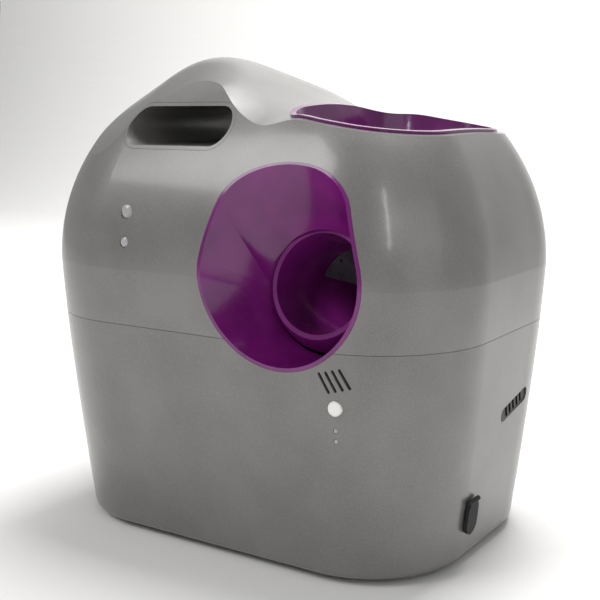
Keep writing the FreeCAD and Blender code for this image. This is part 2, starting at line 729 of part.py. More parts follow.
def battery_tray():
    floor_top = "floor_level + wall"
    outer = box("tray_outer", f"2 * ({CELL_BAY} + tray_wall)", f"2 * ({BAY_REACH} + tray_wall)",
                f"{DECK_BOTTOM} - ({floor_top})", x=f"-({CELL_BAY} + tray_wall)",
                y=f"-({BAY_REACH} + tray_wall)", z=floor_top)
    bosses = [cylinder(f"tray_boss_{index}", "post_radius", f"{DECK_BOTTOM} - ({floor_top})",
                       y=f"{sign}{DOOR_SCREW}", z=floor_top)
              for index, sign in enumerate(("-", ""))]
    bay = box("tray_bay", f"2 * {CELL_BAY}", f"2 * {BAY_REACH}", ROOF,
              x=f"-{CELL_BAY}", y=f"-{BAY_REACH}")
    pilots = [cylinder(f"tray_pilot_{index}", "screw_radius", "pilot_depth + wall",
                       y=f"{sign}{DOOR_SCREW}", z="floor_level")
              for index, sign in enumerate(("-", ""))]
    finished(carved("tray", joined("tray_blank", [outer] + bosses), [bay] + pilots), "battery_tray")


def battery_cells():
    """Six size D cells in two rows of three, each with its small end cap."""
    cells = []
    for column in (-1, 0, 1):
        for row, start in enumerate(("-cell_length", "0.2")):
            name = f"cell_{column + 1}_{row}"
            cells.append(turned(name, "Y", [("0", start), ("cell_radius", start),
                                            ("cell_radius", f"{start} + cell_length - 2.2"),
                                            ("4.5", f"{start} + cell_length - 2.2"),
                                            ("4.5", f"{start} + cell_length - 0.4"),
                                            ("0", f"{start} + cell_length - 0.4")],
                                x=f"{column} * cell_pitch", z="cell_base + cell_radius"))
    finished(joined("cells", cells), "battery_cells")


def battery_contacts():
    contacts = []
    for column in (-1, 0, 1):
        for end, start in enumerate((f"-{BAY_REACH}", "cell_length + 0.1")):
            contacts.append(cylinder(f"contact_{column + 1}_{end}", "6", "1.4", x=f"{column} * cell_pitch",
                                     y=start, z="cell_base + cell_radius", **ALONG_Y))
    finished(joined("contacts", contacts), "battery_contacts")


def screw(name, length, **place):
    """A pan-head screw that points up from its place."""
    return turned(name, "Z", [("0", "0"), ("head_radius", "0"), ("head_radius", "head_height"),
                              (SHANK, "head_height"), (SHANK, length), ("0", length)], **place)


def base_screws():
    doors = [screw(f"door_screw_{index}", "12", y=f"{sign}{DOOR_SCREW}", z="floor_level - fit_gap / 2")
             for index, sign in enumerate(("-", ""))]
    cases = [screw(f"case_screw_{index}", "24", x=side, y=reach,
                   z="parting_height - 1.5 * seam_gap - boss_drop - post_end - head_height")
             for index, (side, reach) in enumerate(POSTS)]
    deck_ends = [turned(f"deck_screw_{index}", "Z",
                        [("0", "-8"), (SHANK, "-8"), (SHANK, "0"), ("head_radius", "0"),
                         ("head_radius", "head_height"), ("0", "head_height")],
                        x=f"{side}stand_side", y=f"{end}stand_reach", z=DECK_TOP)
                 for index, (side, end) in enumerate((("-", "-"), ("-", ""), ("", "-"), ("", "")))]
    finished(joined("screws_of_base", doors + cases + deck_ends), "base_screws")


def deck():
    half, reach = "deck_half_width", "deck_half_depth"
    holes = [("screw_radius + fit_gap", f"{side}stand_side", f"{end}stand_reach")
             for side in ("-", "") for end in ("-", "")]
    sheet_piece = plate("deck_sheet", "XY_Plane", bar_points(f"-{half}", half, f"-{reach}", reach),
                        "deck_thickness", holes, z=DECK_BOTTOM)
    stands = [turned(f"board_stand_{x}_{y}", "Z", ring_points("screw_radius", "3", "0", "board_lift"),
                     x=f"{x} - board_side", y=y, z=DECK_TOP)
              for x in ("-48", "-4") for y in ("-44", "44")]
    notches = [cylinder(f"post_notch_{index}", "post_radius + 0.6", "2 * deck_thickness",
                        x=side, y=reach, z=f"{DECK_BOTTOM} - deck_thickness / 2")
               for index, (side, reach) in enumerate(POSTS)]
    finished(carved("deck_piece", joined("deck_blank", [sheet_piece] + stands), notches), "deck")


# ---------------------------------------------------------------------------
# Launch unit: barrel, pivot ball, breech, plunger and spring, in a frame tilted about the pivot
# ---------------------------------------------------------------------------
BORE = "(barrel_bore / 2)"
TUBE = f"({BORE} + barrel_wall)"
PLUNGER_FACE = "(ball_seat + ball_diameter / 2 + pad_thickness + 0.2)"
PLUNGER_BACK = f"({PLUNGER_FACE} + plunger_thickness)"
CAP_INNER = "(barrel_length - cap_wall)"
INNER_PLATE = f"({TUBE} + 0.3)"


def local_box(name, sides, alongs, aboves):
    """A block in the launch unit's frame from pairs of expressions."""
    (x0, x1), (y0, y1), (z0, z1) = sides, alongs, aboves
    return box(name, f"({x1}) - ({x0})", f"({y1}) - ({y0})", f"({z1}) - ({z0})", x=x0, y=y0, z=z0)


def barrel():
    tube = turned("barrel_tube", "Y", ring_points(BORE, TUBE, "2 - muzzle_reach", CAP_INNER))
    lugs = [local_box("barrel_lug_front", (f"-{INNER_PLATE}", "-barrel_bore / 2 + 1"),
                      ("ball_tail + 10", "ball_tail + 22"), ("-16", "-4")),
            local_box("barrel_lug_rear", (f"-{INNER_PLATE}", "-barrel_bore / 2 + 1"),
                      ("barrel_length - 14", CAP_INNER), ("-9", "9"))]
    bore = cylinder("barrel_hollow", BORE, "2 * barrel_length", y="-barrel_length", **ALONG_Y)
    window = local_box("barrel_window", (f"-2 * {TUBE}", f"2 * {TUBE}"),
                       ("window_start", "window_start + window_length"), ("10", f"2 * {TUBE}"))
    guide = local_box("barrel_guide", (f"-2 * {TUBE}", "0"),
                      (f"{PLUNGER_FACE} - 0.5", f"{PLUNGER_BACK} + cock_stroke + 0.5"),
                      ("rack_line - 9", "rack_line + 0.5"))
    finished(set_in(carved("barrel_piece", joined("barrel_blank", [tube] + lugs), [bore, window, guide]),
                    **aimed()), "barrel")


def pivot_ball():
    """Ball that turns in the mouth's round back, with a trunnion pin on each side."""
    radius, tube = size("pivot_ball_radius"), value_of(TUBE)
    ball = Part.makeSphere(radius)
    pins = sideways(size("pin_radius"), 0, 0, -radius - size("pin_gap") - size("aim_width"),
                    radius + size("pin_gap"))
    keep = across(2 * radius, 0, 0, -size("muzzle_reach"), size("ball_tail"))
    seat = across(tube, 0, 0, 2 - size("muzzle_reach"), 2 * radius)
    bore = across(size("barrel_bore") / 2, 0, 0, -2 * radius, 2 * radius)
    shape = ball.common(keep).fuse(pins).cut([seat, bore]).removeSplitter()
    ball_part = shape_part("pivot_ball", shape)
    ball_part.Placement = FreeCAD.Placement(
        Vector(size("barrel_side"), -size("pivot_depth"), size("pivot_height")),
        FreeCAD.Rotation(Vector(1, 0, 0), -size("rest_tilt")))


def breech_cap():
    """End cap of the barrel, with a spigot inside the tube and a seat for the spring."""
    finished(turned("breech", "Y", [
        ("0", f"{CAP_INNER} - 4"), ("8", f"{CAP_INNER} - 4"), ("8", CAP_INNER),
        (f"{BORE} - cap_wall", CAP_INNER), (f"{BORE} - cap_wall", f"{CAP_INNER} - 5"),
        (f"{BORE} - 0.1", f"{CAP_INNER} - 5"), (f"{BORE} - 0.1", CAP_INNER), (TUBE, CAP_INNER),
        (TUBE, "barrel_length"), ("0", "barrel_length")], **aimed()), "breech_cap")


def plunger():
    """Piston behind the ball; its fin passes the barrel's slot and carries the cocking rack."""
    disc = turned("plunger_disc", "Y", [
        ("0", PLUNGER_FACE), ("plunger_radius", PLUNGER_FACE), ("plunger_radius", PLUNGER_BACK),
        ("8", PLUNGER_BACK), ("8", f"{PLUNGER_BACK} + 4"), ("0", f"{PLUNGER_BACK} + 4")])
    rack_outer, rack_inner = "(rack_side + rack_width / 2)", "(rack_side - rack_width / 2)"
    bar_top, bar_bottom = "(rack_line - 1.2 * rack_module)", "(rack_line - 1.2 * rack_module - 6)"
    fin = local_box("plunger_fin", (f"-{rack_outer}", "2 - plunger_radius"),
                    (PLUNGER_FACE, PLUNGER_BACK), (bar_bottom, bar_top))
    pitch = "rack_module * pi"
    first = f"(drive_axial - (rack_teeth - 2.5) * {pitch})"
    rack = doc.addObject("PartDesign::Body", "rack")
    bar = sketch_on(rack, "YZ_Plane", "rack_bar")
    draw_outline(bar, bar_points(f"{first} - {pitch} / 2", PLUNGER_BACK, bar_bottom, bar_top))
    pad(rack, bar, "rack_width", "rack_bar_pad")
    tooth = sketch_on(rack, "YZ_Plane", "rack_tooth")
    low, high = f"{bar_top} - 0.3", "rack_line + 0.9 * rack_module"
    draw_outline(tooth, [(f"{first} - 0.95 * rack_module", low), (f"{first} + 0.95 * rack_module", low),
                         (f"{first} + 0.36 * rack_module", high), (f"{first} - 0.36 * rack_module", high)])
    tooth_pad = pad(rack, tooth, "rack_width", "rack_tooth_pad")
    row = rack.newObject("PartDesign::LinearPattern", "rack_row")
    row.Originals = [tooth_pad]
    row.Direction = (bar, ["H_Axis"])
    row.setExpression("Occurrences", expression("rack_teeth"))
    row.setExpression("Length", expression(f"(rack_teeth - 1) * {pitch}"))
    rack.Tip = row
    rack.setExpression("Placement", spot(x=f"-{rack_outer}"))
    finished(set_in(joined("plunger_piece", [disc, fin, rack]), **aimed()), "plunger")
    finished(turned("pad_disc", "Y", ring_points("4", "plunger_radius - 5", f"{PLUNGER_FACE} - pad_thickness",
                                                 PLUNGER_FACE), **aimed()), "plunger_pad")


def launch_spring():
    """Coil of round wire, made of quarter turns that are arcs through three points of a helix."""
    wire, radius = size("spring_wire"), size("spring_radius")
    clear = wire + size("fit_gap")
    start, end = value_of(PLUNGER_BACK) + clear, value_of(CAP_INNER) - clear
    eighths = 8 * round(size("spring_turns"))

    def on_coil(eighth):
        angle = math.pi * eighth / 4
        return Vector(radius * math.cos(angle), radius * math.sin(angle), (end - start) * eighth / eighths)

    arcs = [Part.Arc(*[on_coil(first + step) for step in range(3)]).toShape()
            for first in range(0, eighths, 2)]
    ring = Part.Wire(Part.makeCircle(wire, on_coil(0), arcs[0].tangentAt(arcs[0].FirstParameter)))
    coil = Part.Wire(arcs).makePipeShell([ring], True, True)
    spring = shape_part("launch_spring", coil)
    tilted = FreeCAD.Placement(
        Vector(size("barrel_side"), -size("pivot_depth"), size("pivot_height")),
        FreeCAD.Rotation(Vector(1, 0, 0), -size("rest_tilt")))
    along_barrel = FreeCAD.Placement(Vector(0, start, 0), FreeCAD.Rotation(Vector(1, 0, 0), -90))
    spring.Placement = tilted.multiply(along_barrel)


def brackets():
    """Two stands on the deck that carry the trunnion pins."""
    inner = "(pivot_ball_radius + pin_gap - bracket_plate - 1)"
    stands = {"left": f"barrel_side - {inner} - bracket_plate", "right": f"barrel_side + {inner}"}
    for side, start in stands.items():
        upright_plate = plate(f"bracket_plate_{side}", "YZ_Plane",
                              [("-pivot_depth - bracket_reach", DECK_TOP),
                               ("-pivot_depth + bracket_reach", DECK_TOP),
                               ("-pivot_depth + bracket_head", "pivot_height + bracket_head"),
                               ("-pivot_depth - bracket_head", "pivot_height + bracket_head")],
                              "bracket_plate",
                              [("pin_radius + bearing_gap", "-pivot_depth", "pivot_height")], x=start)
        foot = box(f"bracket_foot_{side}", "bracket_foot", "2 * bracket_reach", "bracket_plate",
                   x=f"{start} - bracket_foot", y="-pivot_depth - bracket_reach", z=DECK_TOP)
        finished(joined(f"bracket_{side}", [upright_plate, foot]), f"trunnion_bracket_{side}")


# ---------------------------------------------------------------------------
# Cocking drive: sector on the rack, final gear, idler and motor between two plates
# ---------------------------------------------------------------------------
FINAL = ("drive_axial", "(rack_line + rack_module * sector_teeth / 2)")
IDLER_REACH = "(wheel_module * (wheel_teeth + idler_pinion_teeth) / 2)"
MOTOR_REACH = "(motor_module * (idler_teeth + motor_pinion_teeth) / 2)"
IDLER = (f"({FINAL[0]} + {IDLER_REACH} * cos(train_turn))",
         f"({FINAL[1]} + {IDLER_REACH} * sin(train_turn))")
MOTOR = (f"({IDLER[0]} + {MOTOR_REACH} * cos(motor_turn))",
         f"({IDLER[1]} - {MOTOR_REACH} * sin(motor_turn))")
PILLARS = ((f"({FINAL[0]} - 31)", f"({FINAL[1]} + 2)"), (IDLER[0], f"({IDLER[1]} + 26)"),
           (f"({MOTOR[0]} + 15)", f"({MOTOR[1]} - 24)"))
RACK_OUTER = "(rack_side + rack_width / 2)"
WHEEL_START = f"({RACK_OUTER} + 1.5 + gear_width)"
IDLER_START = f"({WHEEL_START} + 3 + gear_width)"
OUTER_PLATE = f"({IDLER_START} + 2.5)"


def gear_plates():
    hub = "shaft_radius + bearing_gap"
    legs = [("ball_tail + 8", "-16"), ("ball_tail + 24", "-16"), ("ball_tail + 24", "rack_line + 3"),
            ("barrel_length - 17", "rack_line + 3"), ("barrel_length - 17", "-10"),
            ("barrel_length", "-10")]
    crown = [(f"{MOTOR[0]} + 23", f"{MOTOR[1]} - 30"), (f"{MOTOR[0]} + 23", f"{MOTOR[1]} + 14"),
             (f"{IDLER[0]} + 13", f"{IDLER[1]} + 34"), (f"{IDLER[0]} - 13", f"{IDLER[1]} + 34"),
             (f"{FINAL[0]} - 38", f"{FINAL[1]} + 11")]
    pillar_holes = [("screw_radius", x, y) for x, y in PILLARS]
    inner = plate("inner_plate", "YZ_Plane", legs + crown[1:] + [("ball_tail + 8", "12")], "2",
                  [(hub, *FINAL), (hub, *IDLER)] + pillar_holes,
                  **aimed(x=f"-{INNER_PLATE} - 2"))
    finished(inner, "inner_gear_plate")
    outer = plate("outer_plate", "YZ_Plane", crown + [(f"{FINAL[0]} - 38", f"{FINAL[1]} - 12")],
                  "side_plate", [(hub, *FINAL), (hub, *IDLER), ("4", *MOTOR)] + pillar_holes,
                  **aimed(x=f"-{OUTER_PLATE} - side_plate"))
    finished(outer, "outer_gear_plate")
    pillars, screws = [], []
    for index, (along, above) in enumerate(PILLARS):
        length = f"{OUTER_PLATE} - {INNER_PLATE} - 2"
        pillars.append(turned(f"pillar_{index}", "X", ring_points("screw_radius", "3", "0", length),
                              **aimed(f"-{OUTER_PLATE}", along, above)))
        screws.append(turned(f"plate_screw_{index}", "X",
                             [("0", "-head_height"), ("head_radius", "-head_height"),
                              ("head_radius", "0"), (SHANK, "0"), (SHANK, "10"), ("0", "10")],
                             **aimed(f"-{OUTER_PLATE} - side_plate", along, above)))
    finished(joined("pillars", pillars), "gear_plate_pillars")
    finished(joined("screws_of_plate", screws), "gear_plate_screws")


def drive_gears():
    bore = "shaft_radius"
    sector_turn = "-90 - (sector_kept - 2) * 360 / sector_teeth"
    finished(gear_body("sector", "sector_teeth", "rack_module", "rack_width", bore, "sector_kept",
                       **aimed(f"-{RACK_OUTER}", *FINAL, turn=sector_turn)), "drive_sector")
    finished(gear_body("final", "wheel_teeth", "wheel_module", "gear_width", bore,
                       **aimed(f"-{WHEEL_START}", *FINAL, turn="train_turn")), "final_gear")
    mesh_turn = "train_turn + 180 + 180 / idler_pinion_teeth"
    pinion = gear_body("idler_small", "idler_pinion_teeth", "wheel_module",
                       f"{IDLER_START} - gear_width - ({WHEEL_START}) + gear_width + 1.5", bore,
                       **aimed(f"-{IDLER_START} + gear_width", *IDLER, turn=mesh_turn))
    big = gear_body("idler_big", "idler_teeth", "motor_module", "gear_width", bore,
                    **aimed(f"-{IDLER_START}", *IDLER, turn="-motor_turn"))
    finished(joined("idler", [pinion, big]), "idler_gear")
    finished(gear_body("motor_gear", "motor_pinion_teeth", "motor_module", "gear_width + 1.5", "1.5",
                       **aimed(f"-{IDLER_START} - 1", *MOTOR,
                               turn="180 - motor_turn + 180 / motor_pinion_teeth")), "motor_pinion")
    length = f"{OUTER_PLATE} + side_plate - {INNER_PLATE}"
    for name, (along, above) in (("final_shaft", FINAL), ("idler_shaft", IDLER)):
        finished(turned(name + "_bar", "X", [("0", "0"), (bore, "0"), (bore, length), ("0", length)],
                        **aimed(f"-{OUTER_PLATE} - side_plate", along, above)), name)


def motor():
    can_end = f"-{OUTER_PLATE} - side_plate"
    can = turned("motor_can", "X", [
        ("2.5", "0"), ("3.5", "0"), ("3.5", "-1"), ("motor_radius", "-1"), ("motor_radius", "-motor_length"),
        ("5", "-motor_length"), ("5", "-motor_length - 3"), ("1.6", "-motor_length - 3"),
        ("1.6", "-motor_length + 2"), ("2.5", "-motor_length + 2")],
        **aimed(f"{can_end} + 1", *MOTOR))
    finished(can, "drive_motor")
    shaft = turned("motor_bar", "X", [("0", "8 - motor_length"), ("1.5", "8 - motor_length"),
                                      ("1.5", "side_plate + gear_width + 5"),
                                      ("0", "side_plate + gear_width + 5")],
                   **aimed(can_end, *MOTOR))
    finished(shaft, "motor_shaft")


# ---------------------------------------------------------------------------
# Aiming drive: toothed sector on the left trunnion, pinion shaft and six-lobed dial in the left wall
# ---------------------------------------------------------------------------
AIM_CENTRE = "(aim_module * (aim_teeth + aim_pinion_teeth) / 2 - pivot_depth)"
AIM_SECTOR_START = "(barrel_side - pivot_ball_radius - pin_gap - aim_width)"


def aiming_drive():
    wheel = gear_body("aim_wheel", "aim_teeth", "aim_module", "aim_width", "pin_radius", "aim_kept",
                      x=AIM_SECTOR_START, y="-pivot_depth", z="pivot_height",
                      axis=(1, 0, 0), turn="-1.5 * 360 / aim_teeth")
    trim = box("aim_trim", "2 * aim_width", "2 * aim_teeth", "4 * aim_teeth",
               x=f"{AIM_SECTOR_START} - 1", y="-pivot_depth - 9 - 2 * aim_teeth",
               z="pivot_height - 2 * aim_teeth")
    finished(carved("aim_fan", wheel, [trim]), "aim_sector")
    pinion_end = f"{AIM_SECTOR_START} + aim_width"
    finished(gear_body("aim_small", "aim_pinion_teeth", "aim_module", "aim_width + 2",
                       "dial_shaft_radius", x=f"{AIM_SECTOR_START} - 1", y=AIM_CENTRE, z="pivot_height",
                       axis=(1, 0, 0), turn="0"), "aim_pinion")
    finished(cylinder("aim_bar", "dial_shaft_radius", f"{pinion_end} + 3 + belly_half_width - 5",
                      x="5 - belly_half_width", y=AIM_CENTRE, z="pivot_height", **ALONG_X), "aim_shaft")
    start = f"{AIM_SECTOR_START} - aim_stand_gap - bracket_plate"
    stand = plate("aim_stand", "YZ_Plane",
                  [(f"{AIM_CENTRE} - aim_stand_foot", DECK_TOP),
                   (f"{AIM_CENTRE} + aim_stand_foot", DECK_TOP),
                   (f"{AIM_CENTRE} + aim_stand_head", "pivot_height + aim_stand_head"),
                   (f"{AIM_CENTRE} - aim_stand_head", "pivot_height + aim_stand_head")],
                  "bracket_plate", [("dial_shaft_radius + bearing_gap", AIM_CENTRE, "pivot_height")],
                  x=start)
    foot = box("aim_stand_base", "bracket_foot", "2 * aim_stand_foot", "bracket_plate",
               x=f"{start} - bracket_foot", y=f"{AIM_CENTRE} - aim_stand_foot", z=DECK_TOP)
    finished(joined("aim_stand_piece", [stand, foot]), "aim_bracket")


def bezel_points(direction):
    """Section of a dial cup; direction is the sign that leads from the wall into the case."""
    rim = "(dial_radius + dial_gap)"
    hole = "dial_shaft_radius + bearing_gap"
    return [(hole, f"{direction}bezel_depth"), (rim, f"{direction}bezel_depth"), (rim, "0"),
            (f"{rim} + bezel_wall", "0"),
            (f"{rim} + bezel_wall", f"{direction}(bezel_depth + bezel_wall)"),
            (hole, f"{direction}(bezel_depth + bezel_wall)")]


def dials():
    finished(turned("aim_cup", "X", bezel_points(""), x="-belly_half_width", y=AIM_CENTRE,
                    z="pivot_height"), "angle_dial_bezel")
    finished(turned("power_cup", "Y", bezel_points("-"), x="power_dial_side", y="belly_half_depth",
                    z="power_dial_height"), "distance_dial_bezel")
    star = doc.addObject("PartDesign::Body", "star")
    hub = sketch_on(star, "YZ_Plane", "star_hub")
    draw_circle(hub, "dial_radius * 0.72")
    draw_circle(hub, "dial_shaft_radius")
    pad(star, hub, "dial_thickness", "star_hub_pad")
    lobe = sketch_on(star, "YZ_Plane", "star_lobe")
    draw_circle(lobe, "dial_radius * 0.3", "dial_radius * 0.68", "0")
    lobe_pad = pad(star, lobe, "dial_thickness", "star_lobe_pad")
    ring = star.newObject("PartDesign::PolarPattern", "star_ring")
    ring.Originals = [lobe_pad]
    ring.Axis = (hub, ["N_Axis"])
    ring.Angle = 360
    ring.setExpression("Occurrences", expression("dial_lobes"))
    star.Tip = ring
    face = cylinder("star_face", "dial_shaft_radius + 1", "5", **ALONG_X)
    finished(set_in(joined("star_dial", [star, face]), x="-belly_half_width", y=AIM_CENTRE,
                    z="pivot_height"), "angle_dial")
    disc = turned("power_disc", "Y", [
        ("0", "0"), ("dial_radius - 1", "0"), ("dial_radius", "-1"), ("dial_radius", "-disc_thickness"),
        ("0", "-disc_thickness")])
    ridge = box("power_ridge", "1.7 * dial_radius", "grip_height + 1", "grip_width",
                x="-0.85 * dial_radius", y="-1", z="-grip_width / 2")
    finished(set_in(joined("power_knob", [disc, ridge]), x="power_dial_side",
                    y="belly_half_depth - grip_height", z="power_dial_height"), "distance_dial")
    finished(cylinder("power_bar", "dial_shaft_radius",
                      "bezel_depth + bezel_wall - grip_height - disc_thickness", x="power_dial_side",
                      y="belly_half_depth - bezel_depth - bezel_wall", z="power_dial_height",
                      **ALONG_Y), "distance_shaft")
    finished(cylinder("power_pot", "pot_size", "pot_size", x="power_dial_side",
                      y="belly_half_depth - bezel_depth - bezel_wall - pot_size", z="power_dial_height",
                      **ALONG_Y), "distance_potentiometer")


# ---------------------------------------------------------------------------
# Controls, sensors, sound and power inlet
# ---------------------------------------------------------------------------
def depth_of_wall(height, above):
    """Half depth of the case at a height, as an expression; above says which side of the belly."""
    if above:
        return (f"belly_half_depth * sqrt(1 - (({height} - belly_height) / {CROWN_DEPTH})"
                f" * (({height} - belly_height) / {CROWN_DEPTH}))")
    return (f"(belly_half_depth - (belly_half_depth - base_half_depth)"
            f" * pow((belly_height - {height}) / belly_height; base_flare))")


def front_wall(side, height):
    """Place of the case's front face at a side and a height below the belly, as an expression."""
    depth = depth_of_wall(height, False)
    width = (f"(belly_half_width - (belly_half_width - base_half_width)"
             f" * pow((belly_height - {height}) / belly_height; base_flare))")
    radius = f"(corner_share * {depth})"
    past = f"max(0; {side} - {width} + {radius})"
    return f"-({depth} - {radius} + sqrt({radius} * {radius} - {past} * {past}))"


BUTTON_FACE = front_wall("button_side", BUTTON_HEIGHT)
BOARD_FACE = f"({BUTTON_FACE} + 13)"
SENSOR_CARD_FACE = f"(5.6 - ({depth_of_wall('sensor_high', True)}))"


def controls():
    finished(turned("button_cap", "Y", [
        ("0", "0"), ("button_radius - 1", "0"), ("button_radius", "1"), ("button_radius", "6"),
        ("2", "6"), ("2", "8"), ("0", "8")], x="button_side", y=f"{BUTTON_FACE} - 1.6",
        z=BUTTON_HEIGHT), "power_button")
    finished(box("switch_block", "7", f"{BOARD_FACE} - ({BUTTON_FACE} + 6.4 + button_travel) - 0.1", "7",
                 x="button_side - 3.5", y=f"{BUTTON_FACE} + 6.5 + button_travel",
                 z=f"{BUTTON_HEIGHT} - 3.5"), "button_switch")
    lamps = []
    for index in range(2):
        height = lamp_height(index)
        face = front_wall("button_side", height)
        lamps.append(turned(f"lamp_{index}", "Y", [
            ("0", "0"), ("lamp_radius - 0.4", "0"), ("lamp_radius", "0.4"), ("lamp_radius", "8"),
            ("0", "8")], x="button_side", y=f"{face} - 0.4", z=height))
    finished(joined("lamps", lamps), "status_lamps")
    finished(box("control_card", "card_width", "board_thickness", "card_height",
                 x="button_side - card_width / 2", y=BOARD_FACE, z=f"{BUTTON_HEIGHT} - card_drop"),
             "control_board")
    cone_face = front_wall("button_side + speaker_radius", SPEAKER_HEIGHT)
    finished(turned("speaker_frame", "Y", [
        ("0", "3"), ("speaker_radius - 2", "1"), ("speaker_radius - 2", "0"), ("speaker_radius", "0"),
        ("speaker_radius", "3"), ("7", "6"), ("7", "11"), ("0", "11")],
        x="button_side", y=f"{cone_face} + wall + 1", z=SPEAKER_HEIGHT), "speaker")


def sensors():
    lenses = []
    for name, height, radius in SENSORS:
        face = f"(-({depth_of_wall(height, True)}))"
        lenses.append(turned(f"lens_{name}", "Y", [
            ("0", "0"), (f"{radius} * 0.6", "0.3"), (radius, "1.4"), (radius, "6.5"),
            ("0", "6.5")], x="-sensor_side", y=f"{face} - lens_proud", z=height))
    finished(joined("lenses", lenses), "sensor_lenses")
    finished(box("sensor_card", "sensor_card_width", "board_thickness", "sensor_card_height",
                 x="-sensor_side - sensor_card_width / 2", y=SENSOR_CARD_FACE,
                 z="sensor_low - sensor_card_drop"), "sensor_board")


def power_inlet():
    """Round DC inlet low in the right wall, under a rubber flap that hangs from its top edge."""
    wall_side = half_width(size("jack_height"))
    finished(turned("jack", "X", [
        ("2.8", "0"), ("jack_radius", "0"), ("jack_radius", "-5.6"), ("8.5", "-5.6"), ("8.5", "-13"),
        ("0", "-13"), ("0", "-1.5"), ("1", "-1.5"), ("1", "-11"), ("2.8", "-11")],
        x=wall_side, y="-jack_reach", z="jack_height"), "dc_jack")
    hinge, half = size("flap_hinge"), size("flap_straight") / 2
    thickness, radius = size("flap_thickness"), size("flap_radius")
    lean = math.atan2(half_width(size("jack_height") + hinge) - half_width(size("jack_height") - hinge),
                      2 * hinge)
    wire = round_stretch((0, -half, radius), (0, half, radius), 0)
    leaf = Part.Face(wire).extrude(Vector(0, -thickness, 0))
    roll = sideways(size("flap_roll"), -thickness / 2, hinge, -radius, radius)
    flap = shape_part("jack_flap", leaf.fuse(roll).removeSplitter())
    flap.Placement = FreeCAD.Placement(
        Vector(wall_side + size("flap_gap"), -size("jack_reach"), size("jack_height")),
        FreeCAD.Rotation(Vector(0, 1, 0), math.degrees(lean)).multiply(
            FreeCAD.Rotation(Vector(0, 0, 1), 90)))


def main_electronics():
    card = plate("main_card", "XY_Plane", bar_points("-52", "0", "-48", "48"), "board_thickness",
                 [("screw_radius", x, y) for x in ("-48", "-4") for y in ("-44", "44")],
                 x="-board_side", z=f"{DECK_TOP} + board_lift")
    face = f"{DECK_TOP} + board_lift + board_thickness"
    relay = box("relay", "16", "19", "15", x="-board_side - 44", y="-30", z=face)
    driver = box("driver", "12", "12", "4", x="-board_side - 28", y="10", z=face)
    reservoir = cylinder("reservoir", "5", "14", x="-board_side - 14", y="30", z=face)
    finished(joined("main_card_parts", [card, relay, driver, reservoir]), "main_board")


LEVER_SIDE = "(barrel_side + feed_radius + hopper_wall + lever_clear)"
LEVER_HEIGHT = "(feed_bottom + lever_lift)"


def ball_detector():
    """Lever that a waiting ball pushes out of the feed neck, and the switch it works."""
    hub = cylinder("lever_boss", "lever_hub", "1.5 * arm_width", y="-0.75 * arm_width", **ALONG_Y)
    bore = cylinder("lever_bore", "lever_pin + bearing_gap", "2 * arm_width", y="-arm_width", **ALONG_Y)
    arm = box("lever_arm", "arm_length", "arm_width", "arm_thickness", x="-arm_length",
              y="-arm_width / 2", z="0.3 - lever_hub")
    finished(set_in(carved("lever", joined("lever_blank", [hub, arm]), [bore]),
                    x=LEVER_SIDE, y="feed_depth", z=LEVER_HEIGHT), "ball_lever")
    finished(cylinder("lever_axle", "lever_pin", "2 * lever_span + 1", x=LEVER_SIDE,
                      y="feed_depth - lever_span - 0.5", z=LEVER_HEIGHT, **ALONG_Y), "ball_lever_pin")
    finished(box("detector", "2 * lever_wall", "2 * lever_span - 1", "lever_lift + 2",
                 x=f"{LEVER_SIDE} + lever_hub + 1", y="feed_depth - lever_span + 0.5",
                 z="feed_bottom + lever_wall"), "ball_switch")


# ---------------------------------------------------------------------------
# Linings of the case's openings
# ---------------------------------------------------------------------------
def lever_mount():
    """Two ears beside the hopper's neck for the lever's pin, under a small roof that joins them."""
    side, depth, bottom = value_of(LEVER_SIDE), size("feed_depth"), size("feed_bottom")
    span, thick = size("lever_span"), size("lever_wall")
    top = value_of(LEVER_HEIGHT) + size("lever_clear")
    ears = [Part.makeBox(2 * thick, thick, top - bottom, Vector(side - thick, start, bottom + 2))
            for start in (depth - span, depth + span - thick)]
    roof = Part.makeBox(size("lever_roof"), 2 * span, thick,
                        Vector(side - size("lever_clear") - thick, depth - span, top))
    return ears + [roof]


def lever_cuts():
    """The pin's hole in the ears, and the slot in the neck that the lever's arm passes through."""
    side, depth = value_of(LEVER_SIDE), size("feed_depth")
    span, arm = size("lever_span"), size("arm_width") + 1
    length = size("arm_length") - 1
    return [across(size("lever_pin"), side, value_of(LEVER_HEIGHT), depth - 2 * span, depth + 2 * span),
            Part.makeBox(length, arm, size("lever_lift") + 3,
                         Vector(side - length - 2, depth - arm / 2, size("feed_bottom") - 1))]


def linings():
    funnel = mouth_form(size("mouth_wall")).common(SKIN).cut(mouth_form(0))
    shape_part("mouth_bowl", funnel)
    tube = slot_form(size("slot_lining")).common(SKIN).cut(slot_form(0))
    shape_part("handle_lining", tube)
    top = above_top()
    inner = hopper_form(0)
    bowl = hopper_form(size("hopper_wall")).cut(top)
    lip_band = top.cut(above_top(2))
    lip = hopper_form(size("hopper_lip")).common(lip_band)
    liner = bowl.fuse([lip] + lever_mount()).cut([inner] + lever_cuts()).removeSplitter()
    shape_part("hopper_liner", liner)


def side_vent():
    """Dark louvred insert in the right wall's slanted slot."""
    side = half_width(size("vent_height"))
    body = vent_form(0, side - 2 * size("wall"), side - size("vent_sink"))
    slit, rim = size("vent_slit"), size("vent_rim")
    first, low = size("vent_reach") - slit / 2, size("vent_height") - size("vent_opening") / 2 + rim
    slits = [Part.makeBox(2 * size("wall"), slit, size("vent_opening") - 2 * rim,
                          Vector(side - size("wall"), first + size("vent_pitch") * index, low))
             for index in range(-2, 3)]
    for block in slits:
        block.rotate(Vector(side, size("vent_reach"), size("vent_height")), Vector(1, 0, 0),
                     size("vent_slope"))
    shape_part("side_vent", body.cut(slits))


